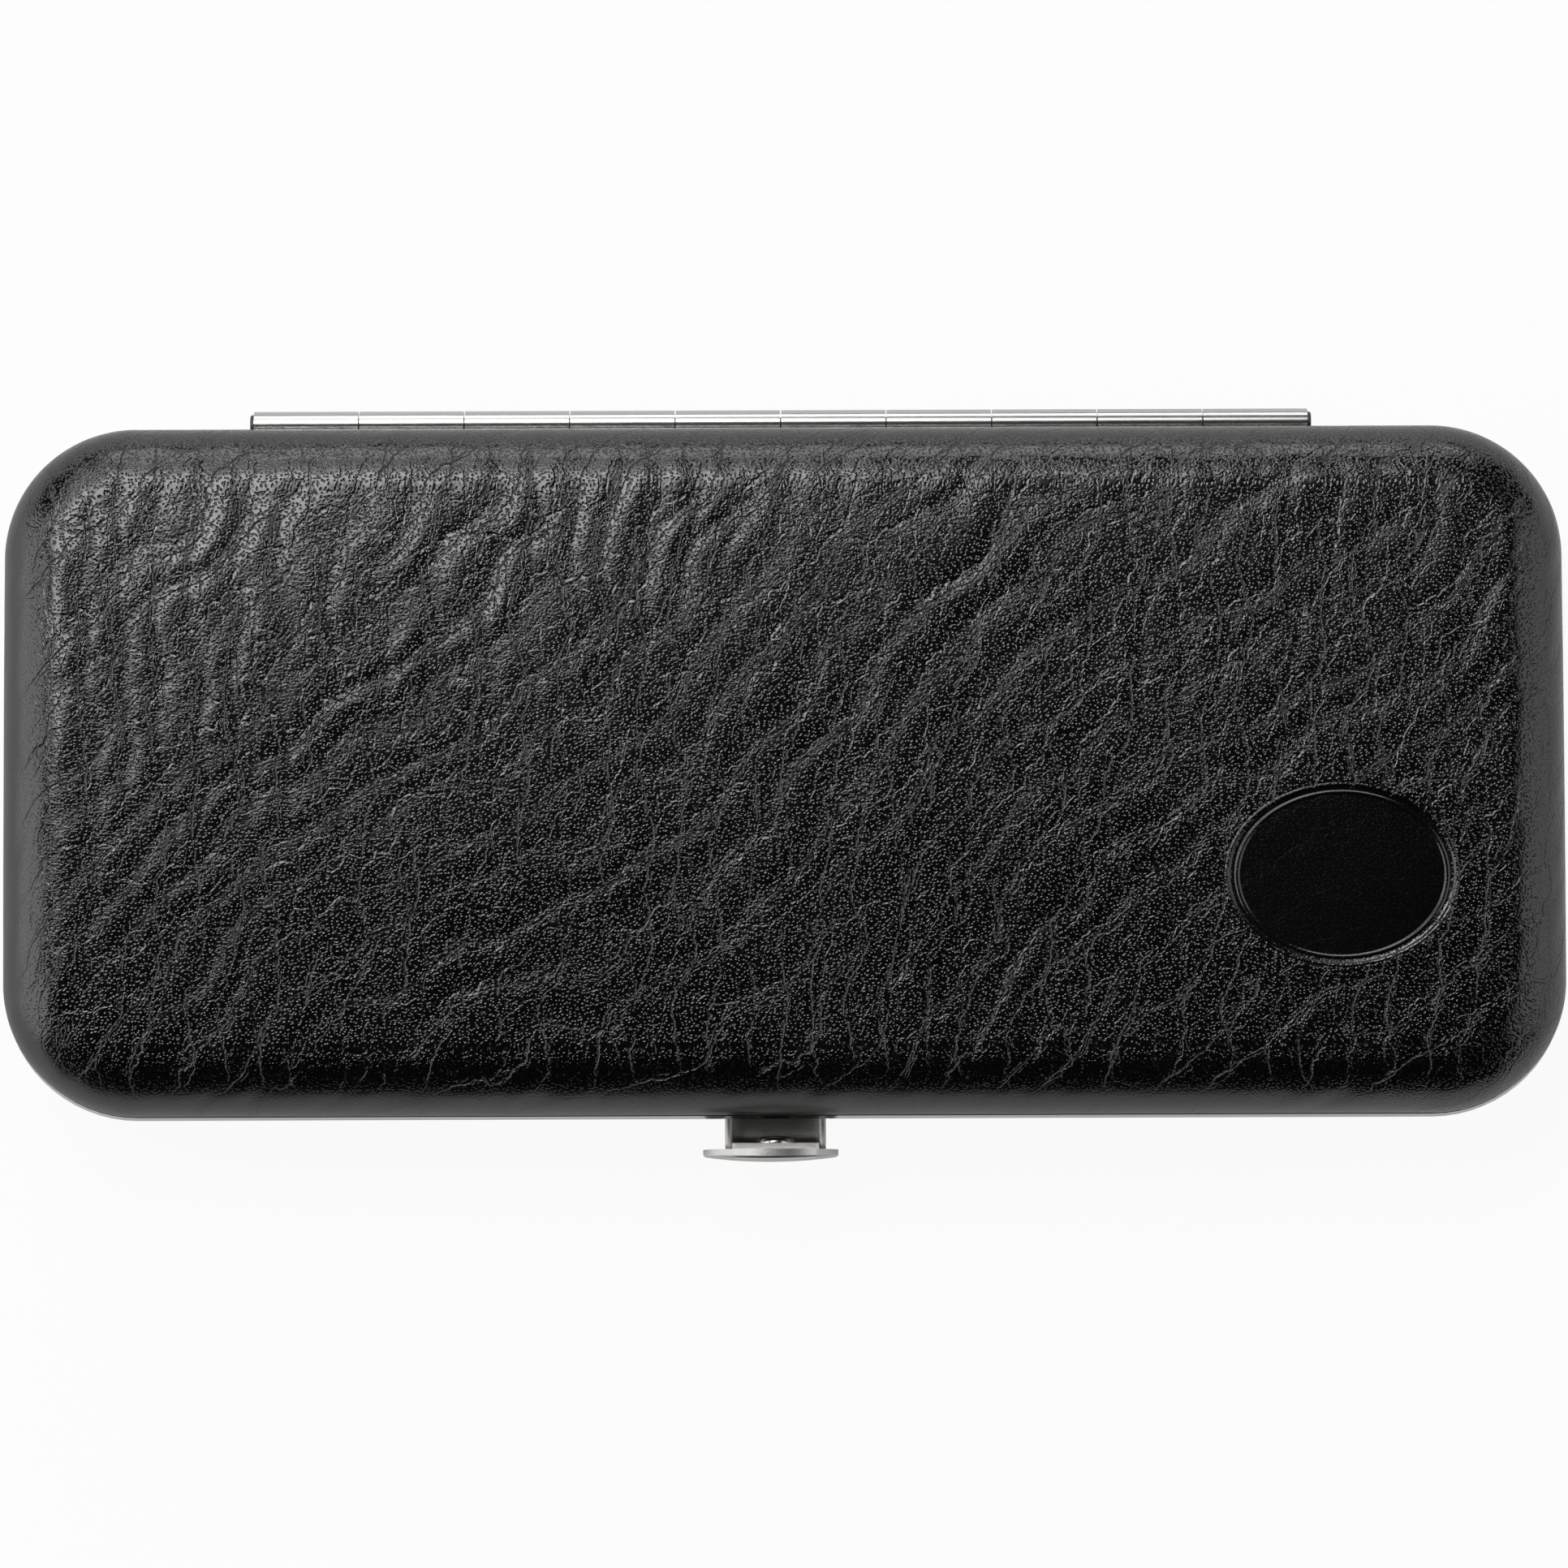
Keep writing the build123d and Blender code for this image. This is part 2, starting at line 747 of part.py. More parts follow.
strap_top = floor + seat_clearance + strap_gauge
with BuildPart() as base_strap_rivets:
    places = scissor_strap_rivets + nipper_strap_rivets
    add(rod_z(places, small_rivet_radius, leather_thickness, strap_top))
    add(rod_z(places, small_head_radius, strap_top, strap_top + small_head))


def lid_strap(side):
    """A strap with a loop for each tool of the lid."""
    with BuildPart() as looped:
        add(strip(lid_strap_path, strap_gauge, side * lid_strap_x, strap_width, strap_bend))
        add(rod_z(lid_strap_rivets, small_rivet_radius, parting, case_height), mode=Mode.SUBTRACT)
    return looped.part


with BuildPart() as lid_strap_left:
    add(lid_strap(-1))

with BuildPart() as lid_strap_right:
    add(lid_strap(1))

with BuildPart() as lid_strap_rivet_set:
    for y, level in lid_seats:
        places = [(side * lid_strap_x, y) for side in (-1, 1)]
        seat = level - strap_gauge / 2
        add(rod_z(places, small_rivet_radius, seat, ceiling(y) + lining_thickness))
        add(rod_z(places, small_head_radius, seat - small_head, seat))


def ring_place(side):
    """Middle of a finger ring, in the scissors' own plane."""
    return (-scissor_shank, side * ring_offset)


scissor_plane = Plane(
    origin=(scissor_x, scissor_y, 0),
    x_dir=(cos(scissor_angle), sin(scissor_angle), 0),
    z_dir=(0, 0, 1),
)
shank_start = scissor_boss + shank_root + ring_gap


def scissor_half(side, low, bore):
    """Half of the scissors: ring and shank to one side of the screw, blade to the other."""
    ring_x, ring_y = ring_place(side)
    root = (-shank_start, side * (shank_root + ring_gap))
    reach = sqrt((ring_x - root[0]) ** 2 + (ring_y - root[1]) ** 2)
    share = 1 - ring_radius / reach
    joint = (root[0] + share * (ring_x - root[0]), root[1] + share * (ring_y - root[1]))
    with BuildPart() as half:
        with BuildSketch(scissor_plane.offset(low)):
            Circle(scissor_boss)
            with BuildSketch(mode=Mode.PRIVATE) as neck:
                with Locations((-scissor_boss / 4, side * scissor_boss / 3)):
                    Circle(scissor_boss * 0.55)
                with Locations(root):
                    Circle(shank_root)
                make_hull()
            add(neck.sketch)
            with BuildLine():
                Line((0, side * blade_back / 3), (scissor_blade, side * blade_gap * 4))
                Line((scissor_blade, side * blade_gap * 4), (scissor_blade, -side * blade_gap * 4))
                ThreePointArc(
                    (scissor_blade, -side * blade_gap * 4),
                    (scissor_blade / 2, -side * 0.78 * blade_back),
                    (0, -side * blade_back),
                )
                Line((0, -side * blade_back), (0, side * blade_back / 3))
            make_face()
        extrude(amount=scissor_gauge)
        with BuildSketch(scissor_plane.offset(scissor_bottom + ring_bar - shank_height / 2)):
            with Locations(root):
                Circle(shank_root)
            with Locations(joint):
                Circle(ring_bar * 0.9)
            make_hull()
        extrude(amount=shank_height)
        with BuildSketch(scissor_plane.offset(low)):
            Circle(bore)
        extrude(amount=scissor_gauge, mode=Mode.SUBTRACT)
    with BuildPart() as ring:
        with BuildSketch(scissor_plane.offset(scissor_bottom)):
            with Locations((ring_x, ring_y)):
                Circle(ring_radius + ring_bar)
                Circle(ring_radius - ring_bar, mode=Mode.SUBTRACT)
        extrude(amount=2 * ring_bar)
        fillet(ring.edges(), ring_bar * 0.8)
    with BuildPart() as whole:
        add(half.part)
        add(ring.part)
    return whole.part


upper_blade = scissor_bottom + scissor_gauge + blade_gap
with BuildPart() as scissor_blade_fixed:
    add(scissor_half(-1, scissor_bottom, scissor_screw + seat_clearance))

with BuildPart() as scissor_blade_moving:
    add(scissor_half(1, upper_blade, scissor_screw + running_clearance))

scissor_place = [(scissor_x, scissor_y)]
screw_seat = upper_blade + scissor_gauge + running_clearance
with BuildPart() as scissor_screw_pin:
    add(rod_z(scissor_place, scissor_screw, scissor_bottom, screw_seat))
    add(
        rod_z(
            scissor_place, scissor_screw_head, screw_seat, screw_seat + scissor_screw_height
        )
    )
    fillet(scissor_screw_pin.faces().sort_by(Axis.Z)[-1].edges(), scissor_screw_height / 2)


def nipper_plane(side):
    """The plane of one half of the nippers, turned about the pivot to its open place."""
    angle = radians(nipper_tilt + side * nipper_open / 2)
    return Plane(
        origin=(nipper_x, nipper_y, 0), x_dir=(cos(angle), sin(angle), 0), z_dir=(0, 0, 1)
    )


handle_start = (1.4 * nipper_boss, nipper_boss / 2)
handle_knee = (0.3 * nipper_handle, nipper_bow - nipper_bar / 2)
handle_crest = (0.55 * nipper_handle, nipper_bow)
handle_end = (nipper_handle, (nipper_tip_spread + nipper_bar) / 2)
jaw_root = nipper_boss + strap_play


def nipper_half(side, low, bore):
    """Half of the nippers: handle to one side of the pivot, jaw to the other."""
    plane = nipper_plane(side)
    points = [(x, side * y) for x, y in (handle_start, handle_knee, handle_crest, handle_end)]
    height = nipper_top - nipper_bottom
    edge = -side * jaw_gap / 2
    with BuildPart() as handle:
        with BuildSketch(plane.offset(nipper_bottom)):
            with BuildLine():
                FilletPolyline(*points, radius=nipper_handle / 4)
            trace(line_width=nipper_bar)
            with Locations(points[0], points[-1]):
                Circle(nipper_bar / 2)
        extrude(amount=height)
        fillet(handle.faces().filter_by(Axis.Z).edges(), nipper_rounding)
    with BuildPart() as half:
        with BuildSketch(plane.offset(low)):
            Circle(nipper_boss)
            with BuildSketch(mode=Mode.PRIVATE) as neck:
                with Locations((0, side * nipper_boss / 4)):
                    Circle(nipper_boss * 0.6)
                with Locations(points[0]):
                    Circle(nipper_bar / 2)
                make_hull()
            add(neck.sketch)
            with BuildLine():
                Polyline(
                    (0, edge),
                    (-jaw_root, edge),
                    (-jaw_root, -side * nipper_boss * 0.95),
                    (0, -side * nipper_boss),
                    close=True,
                )
            make_face()
        extrude(amount=nipper_lap)
        with BuildSketch(plane.offset(nipper_bottom)):
            with BuildLine():
                Polyline(
                    (-jaw_root, edge),
                    (-nipper_jaw, edge),
                    (-nipper_jaw, -side * nipper_boss * 0.2),
                    (-nipper_jaw * 0.6, -side * nipper_boss * 0.85),
                    (-jaw_root, -side * nipper_boss * 0.95),
                    close=True,
                )
            make_face()
        extrude(amount=height)
        add(handle.part)
        with BuildSketch(plane.offset(low)):
            Circle(bore)
        extrude(amount=nipper_lap, mode=Mode.SUBTRACT)
    return half.part


def nipper_leaf(side):
    """A leaf spring from a handle's inner side to the middle, where it meets its mate."""
    slope = (handle_crest[1] - handle_knee[1]) / (handle_crest[0] - handle_knee[0])
    inner = nipper_bar / 2 + leaf_gauge / 2 + seat_clearance
    far = 0.5 * nipper_handle
    near = 0.36 * nipper_handle
    tip = 0.2 * nipper_handle
    tip_y = leaf_gauge / 2 + running_clearance * 2 - tip * sin(radians(nipper_open / 2))
    path = [
        (far, side * (handle_knee[1] + slope * (far - handle_knee[0]) - inner)),
        (near, side * (handle_knee[1] + slope * (near - handle_knee[0]) - inner)),
        (tip, side * tip_y),
    ]
    with BuildPart() as leaf:
        with BuildSketch(
            nipper_plane(side).offset((nipper_bottom + nipper_top - leaf_width) / 2)
        ):
            with BuildLine():
                FilletPolyline(*path, radius=nipper_boss)
            trace(line_width=leaf_gauge)
        extrude(amount=leaf_width)
    return leaf.part


with BuildPart() as nipper_half_fixed:
    add(nipper_half(-1, nipper_bottom, nipper_screw + seat_clearance))

with BuildPart() as nipper_half_moving:
    add(nipper_half(1, nipper_bottom + nipper_lap + blade_gap, nipper_screw + running_clearance))

nipper_place = [(nipper_x, nipper_y)]
with BuildPart() as nipper_screw_pin:
    nipper_seat = nipper_top + running_clearance
    add(rod_z(nipper_place, nipper_screw, nipper_bottom, nipper_seat))
    add(rod_z(nipper_place, nipper_screw_head, nipper_seat, nipper_seat + scissor_screw_height))
    fillet(nipper_screw_pin.faces().sort_by(Axis.Z)[-1].edges(), scissor_screw_height / 2)

with BuildPart() as nipper_spring_fixed:
    add(nipper_leaf(-1))

with BuildPart() as nipper_spring_moving:
    add(nipper_leaf(1))

# Nail file: a flat blade whose tang sits in a moulded handle
file_z = tool_height(file_middle, file_size)
file_start = -lid_wall_x + tool_end_room
file_end = lid_wall_x - tool_end_room - file_play
file_joint = file_start + file_handle_length
file_taper = file_end - 3 * file_blade_width
file_half = file_blade_width / 2


def file_plate(gauge):
    """The file's blade and tang, a flat plate of a gauge."""
    with BuildPart() as plate:
        with BuildSketch(Plane.XY.offset(file_z - gauge / 2)):
            with BuildLine():
                Line((file_joint, file_middle - file_half), (file_joint, file_middle + file_half))
                Line((file_joint, file_middle + file_half), (file_taper, file_middle + file_half))
                ThreePointArc(
                    (file_taper, file_middle + file_half),
                    (file_end - file_blade_width, file_middle + file_half * 0.6),
                    (file_end, file_middle),
                )
                ThreePointArc(
                    (file_end, file_middle),
                    (file_end - file_blade_width, file_middle - file_half * 0.6),
                    (file_taper, file_middle - file_half),
                )
                Line((file_taper, file_middle - file_half), (file_joint, file_middle - file_half))
            make_face()
            with Locations((file_joint, file_middle)):
                Rectangle(file_tang, file_tang_width, align=(Align.MAX, Align.CENTER))
        extrude(amount=gauge)
    return plate.part


with BuildPart() as file_blade:
    add(file_plate(file_blade_gauge))

with BuildPart() as file_handle:
    with BuildSketch(Plane.XY.offset(file_z - file_handle_gauge / 2)) as grip:
        with Locations((file_start, file_middle)):
            Rectangle(file_handle_length, file_handle_width, align=(Align.MIN, Align.CENTER))
        fillet(grip.vertices().group_by(Axis.X)[0], file_handle_width * 0.45)
        fillet(grip.vertices().group_by(Axis.X)[-1], file_handle_width * 0.1)
    extrude(amount=file_handle_gauge)
    fillet(file_handle.faces().sort_by(Axis.Z)[-1].edges(), file_handle_gauge * 0.3)
    fillet(file_handle.faces().sort_by(Axis.Z)[0].edges(), file_handle_gauge * 0.3)
    add(file_plate(file_blade_gauge), mode=Mode.SUBTRACT)

# Cuticle pusher: a round rod with a spoon at one end and a pointed cleaner at the other
pusher_z = tool_height(pusher_middle, pusher_size)
pusher_start = -lid_wall_x + tool_end_room
pusher_end = lid_wall_x - tool_end_room - pusher_play
neck_start = pusher_end - spoon_length
with BuildPart() as cuticle_pusher:
    with BuildSketch(Plane.XZ.offset(-pusher_middle)):
        with BuildLine():
            Polyline(
                (pusher_start, pusher_z),
                (pusher_start, pusher_z + pusher_radius * 0.15),
                (pusher_start + cleaner_length, pusher_z + pusher_radius * 0.8),
                (pusher_start + 1.5 * cleaner_length, pusher_z + pusher_radius),
                (neck_start - pusher_radius, pusher_z + pusher_radius),
                (neck_start, pusher_z + spoon_gauge * 0.8),
                (neck_start + 4 * pusher_radius, pusher_z + spoon_gauge * 0.4),
                (neck_start + 4 * pusher_radius, pusher_z),
                close=True,
            )
        make_face()
    revolve(axis=Axis((0, pusher_middle, pusher_z), (1, 0, 0)))
    with BuildSketch(Plane.XY.offset(pusher_z - spoon_gauge / 2)):
        with Locations((pusher_end - spoon_length / 2, pusher_middle)):
            Ellipse(spoon_length / 2, spoon_width / 2)
    extrude(amount=spoon_gauge)

# Tweezers: two arms that spread from a weld at the back, one over the other
tweezer_z = tool_height(tweezer_middle, tweezer_size)
tweezer_start = -lid_wall_x + tweezer_end_room
tweezer_tip = tweezer_start + tweezer_length
weld_end = tweezer_start + tweezer_weld


def tweezer_arm(side, start):
    """An arm of the tweezers, above the middle or below it, tapered to its tip."""
    near = side * (tweezer_gauge + 2 * running_clearance) / 2
    far = side * (tweezer_spread + tweezer_gauge) / 2
    with BuildPart() as arm:
        with BuildSketch(Plane.XZ.offset(-tweezer_middle)):
            with BuildLine():
                Polyline(
                    (start, tweezer_z + near),
                    (weld_end, tweezer_z + near),
                    (tweezer_tip - tweezer_width, tweezer_z + far),
                    (tweezer_tip, tweezer_z + far * 0.8),
                )
            trace(line_width=tweezer_gauge)
        extrude(amount=tweezer_width / 2, both=True)
        with BuildSketch(Plane.XY.offset(lid_bottom)):
            with BuildLine():
                Polyline(
                    (tweezer_start - 1, tweezer_middle + tweezer_width / 2),
                    (tweezer_start + tweezer_length / 2, tweezer_middle + tweezer_width / 2),
                    (tweezer_tip + 1, tweezer_middle + tweezer_tip_width / 2),
                    (tweezer_tip + 1, tweezer_middle - tweezer_tip_width / 2),
                    (tweezer_start + tweezer_length / 2, tweezer_middle - tweezer_width / 2),
                    (tweezer_start - 1, tweezer_middle - tweezer_width / 2),
                    close=True,
                )
            make_face()
        extrude(amount=lid_height, mode=Mode.INTERSECT)
    return arm.part


with BuildPart() as tweezer_arm_fixed:
    add(tweezer_arm(1, tweezer_start))
    with Locations((tweezer_start, tweezer_middle, tweezer_z)):
        Box(
            tweezer_weld - tweezer_gauge,
            tweezer_width,
            2 * tweezer_gauge,
            align=(Align.MIN, Align.CENTER, Align.CENTER),
        )

with BuildPart() as tweezer_arm_moving:
    add(tweezer_arm(-1, weld_end - tweezer_gauge + 2 * running_clearance))

nodes = {
    "base_leather": base_leather,
    "base_shell": base_shell,
    "base_lining": base_lining,
    "base_rim": base_rim,
    "hinge_pin": hinge_pin,
    "lid_leather": lid_leather,
    "lid_padding": lid_padding,
    "lid_shell": lid_shell,
    "lid_lining": lid_lining,
    "lid_rim": lid_rim,
    "catch_lever": catch_lever,
    "thumb_plate": thumb_plate,
    "thumb_rivet": thumb_rivet,
    "catch_bracket": catch_bracket,
    "catch_pin": catch_pin,
    "catch_spring": catch_spring,
    "catch_rivets": catch_rivets,
    "lid_keeper": lid_keeper,
    "keeper_rivets": keeper_rivet_pair,
    "scissor_strap": scissor_strap,
    "nipper_strap": nipper_strap,
    "base_strap_rivets": base_strap_rivets,
    "lid_strap_left": lid_strap_left,
    "lid_strap_right": lid_strap_right,
    "lid_strap_rivets": lid_strap_rivet_set,
    "scissor_blade_fixed": scissor_blade_fixed,
    "scissor_blade_moving": scissor_blade_moving,
    "scissor_screw": scissor_screw_pin,
    "nipper_half_fixed": nipper_half_fixed,
    "nipper_half_moving": nipper_half_moving,
    "nipper_screw": nipper_screw_pin,
    "nipper_spring_fixed": nipper_spring_fixed,
    "nipper_spring_moving": nipper_spring_moving,
    "file_blade": file_blade,
    "file_handle": file_handle,
    "cuticle_pusher": cuticle_pusher,
    "tweezer_arm_fixed": tweezer_arm_fixed,
    "tweezer_arm_moving": tweezer_arm_moving,
}
for name, piece in nodes.items():
    piece.part.label = name
    export_step(piece.part, f"parts/{name}.step")
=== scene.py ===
"""Leather manicure case: the looks of its leather, metal, lining, straps and tools, and a plain studio."""

import json
import math

import bpy
import numpy as np
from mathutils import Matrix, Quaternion, Vector


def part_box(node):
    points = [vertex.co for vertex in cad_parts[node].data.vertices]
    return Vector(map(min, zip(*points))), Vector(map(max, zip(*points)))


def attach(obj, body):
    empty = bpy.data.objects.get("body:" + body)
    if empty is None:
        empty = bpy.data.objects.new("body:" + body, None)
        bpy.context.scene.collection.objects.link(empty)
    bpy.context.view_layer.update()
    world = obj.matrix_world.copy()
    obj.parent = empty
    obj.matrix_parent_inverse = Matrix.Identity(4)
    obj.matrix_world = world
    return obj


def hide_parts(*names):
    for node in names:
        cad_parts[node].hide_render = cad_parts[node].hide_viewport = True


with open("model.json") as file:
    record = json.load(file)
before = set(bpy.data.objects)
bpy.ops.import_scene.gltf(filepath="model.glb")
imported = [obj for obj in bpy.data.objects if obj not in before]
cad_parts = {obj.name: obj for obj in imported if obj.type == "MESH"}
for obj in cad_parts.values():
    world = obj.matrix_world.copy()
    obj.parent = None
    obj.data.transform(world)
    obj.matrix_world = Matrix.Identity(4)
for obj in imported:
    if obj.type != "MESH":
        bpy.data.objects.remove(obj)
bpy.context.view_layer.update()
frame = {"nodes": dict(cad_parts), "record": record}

bl_info = {
    "name": "Manicure Case",
    "version": (1, 0, 0),
    "blender": (4, 5, 0),
    "location": "3D View > Sidebar > Manicure Case",
    "description": "Finishes of a leather-covered manicure case with its tools, and a studio to see it in",
    "category": "Object",
}

MM = 0.001
FLAT_BEND = 1e6
SKIN_LOW, SKIN_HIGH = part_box("lid_leather")
BASE_LOW, BASE_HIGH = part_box("base_leather")


# Sizes and colours that a user would change


def length(name, default, description):
    """A length in metres, shown in the scene's units."""
    return bpy.props.FloatProperty(
        name=name, default=default, description=description, subtype="DISTANCE", unit="LENGTH"
    )


def share(name, default, description):
    """A plain number."""
    return bpy.props.FloatProperty(name=name, default=default, description=description)


def colour(name, default, description):
    """A linear colour."""
    return bpy.props.FloatVectorProperty(
        name=name, default=default, description=description, subtype="COLOR", size=3, min=0, max=1
    )


class CaseFormSettings(bpy.types.PropertyGroup):
    """Form of the case's two halves"""

    corner: length("Corner radius", 12.2 * MM, "Radius of the case's corners seen from above")
    lid_edge: length("Lid edge radius", 6 * MM, "Radius where the lid's top turns into its wall")
    base_edge: length("Base edge radius", 4.5 * MM, "Radius where the underside turns into the wall")
    crown: length("Crown rise", 1.2 * MM, "How far the lid's middle stands above its long edges")
    leather: length("Leather thickness", 1 * MM, "Thickness of the leather")
    pad_side: length("Pad at the walls", 0.4 * MM, "Thickness of the foam at the lid's walls")
    pad_top: length("Pad on top", 1 * MM, "Thickness of the foam on the lid's top")
    shell: length("Shell gauge", 0.6 * MM, "Gauge of the pressed steel shells")
    lining: length("Lining thickness", 0.7 * MM, "Thickness of the velour lining with its card")


class LeatherSettings(bpy.types.PropertyGroup):
    """Grain and colour of the leather"""

    fine: length("Grid spacing", 0.37 * MM, "Spacing of the leather's mesh on the lid's top")
    swept: length("Swept creases", 4.7 * MM, "Spacing of the creases that sweep across the hide")
    upright: length("Upright creases", 4.1 * MM, "Spacing of the creases that run across the case")
    puff: length("Puff", 0.13 * MM, "How far the cells between the creases bulge")
    groove: share("Groove", 0.09, "Depth of the swept creases in millimetres")
    pit: length("Pit spacing", 0.345 * MM, "Distance between the pits of the grain")
    pit_depth: share("Pit depth", 0.03, "Depth of the pits in millimetres")
    hide: colour("Leather colour", (0.0012, 0.0012, 0.0013), "Colour of the dyed leather")
    shine: share("Roughness", 0.16, "Roughness of the polished crests")
    badge_x: length("Badge place X", 51.4 * MM, "Middle of the plain pressed oval along the case")
    badge_y: length("Badge place Y", -10.4 * MM, "Middle of the plain pressed oval across the case")
    badge_long: length("Badge length", 21.3 * MM, "Length of the pressed oval")
    badge_wide: length("Badge width", 16.7 * MM, "Width of the pressed oval")


class MetalSettings(bpy.types.PropertyGroup):
    """Colours of the metals"""

    nickel: colour("Nickel", (0.70, 0.69, 0.67), "Colour of the nickel plate")
    steel: colour("Tool steel", (0.36, 0.36, 0.365), "Colour of the satin stainless steel")
    spring: colour("Spring steel", (0.42, 0.42, 0.43), "Colour of the springs and pressed shells")


class FabricSettings(bpy.types.PropertyGroup):
    """Colours of the lining, straps and foam"""

    velour: colour("Velour", (0.050, 0.050, 0.054), "Colour of the lining's pile")
    elastic: colour("Elastic", (0.024, 0.024, 0.026), "Colour of the woven elastic")
    foam: colour("Foam", (0.62, 0.60, 0.55), "Colour of the foam under the lid's leather")
    strap_gauge: length("Strap gauge", 0.8 * MM, "Thickness of the elastic straps")
    strap_bend: length("Strap bend", 0.35 * MM, "Radius of the straps' bends")
    strap_seat: length("Strap seat", 3 * MM, "Length of a strap's seat under its rivet")
    strap_rise: length("Strap rise", 1.4 * MM, "Run in which a strap rises over a tool")
    strap_cords: bpy.props.IntProperty(name="Strap cords", default=9, description="Cords in a strap")
    grip: colour("Grip", (0.018, 0.018, 0.019), "Colour of the file's handle")


class StudioSettings(bpy.types.PropertyGroup):
    """Camera, lamps and floor"""

    distance: length("Camera distance", 0.75, "From the lid to the camera")
    view_width: length("View width", 145.7 * MM, "Width of what the camera sees at the lid")
    aim_y: length("Aim", -1.4 * MM, "Where the camera aims, measured across the case")
    tilt: share("Tilt", 4.6, "Degrees by which the camera leans from straight above to the front")
    roll: share("Roll", -0.2, "Degrees by which the camera turns about its view")
    key: share("Key lamp", 2.9, "Brightness of the large lamp behind the case, where 1 is white")
    rear: share("Rear lamp", 2.1, "Brightness of the low lamp behind the case, where 1 is white")
    left: share("Left lamp", 1.5, "Brightness of the lamp at the left, where 1 is white")
    right: share("Right lamp", 0.72, "Brightness of the lamp at the right, where 1 is white")
    room: share("Room", 0.012, "Brightness of the room, where 1 is white")
    floor: colour("Floor", (0.86, 0.86, 0.86), "Colour of the floor")


# Materials


class Value:
    """A socket of a material, with the operators that add its Math nodes."""

    def __init__(self, finish, socket):
        self.finish = finish
        self.socket = socket

    def math(self, operation, *others):
        """A Math node of this socket and others."""
        sockets = dict(enumerate((self, *others)))
        return self.finish.add("ShaderNodeMath", {"operation": operation}, sockets)

    def __add__(self, other):
        return self.math("ADD", other)

    __radd__ = __add__

    def __mul__(self, other):
        return self.math("MULTIPLY", other)

    __rmul__ = __mul__

    def __sub__(self, other):
        return self.math("SUBTRACT", other)

    def __rsub__(self, other):
        return self.finish.add("ShaderNodeMath", {"operation": "SUBTRACT"}, {0: other, 1: self})

    def rise(self, low, high):
        """0 below low, 1 above high and smooth between them."""
        settings = {"interpolation_type": "SMOOTHSTEP"}
        return self.finish.add("ShaderNodeMapRange", settings, {0: self, 1: low, 2: high})


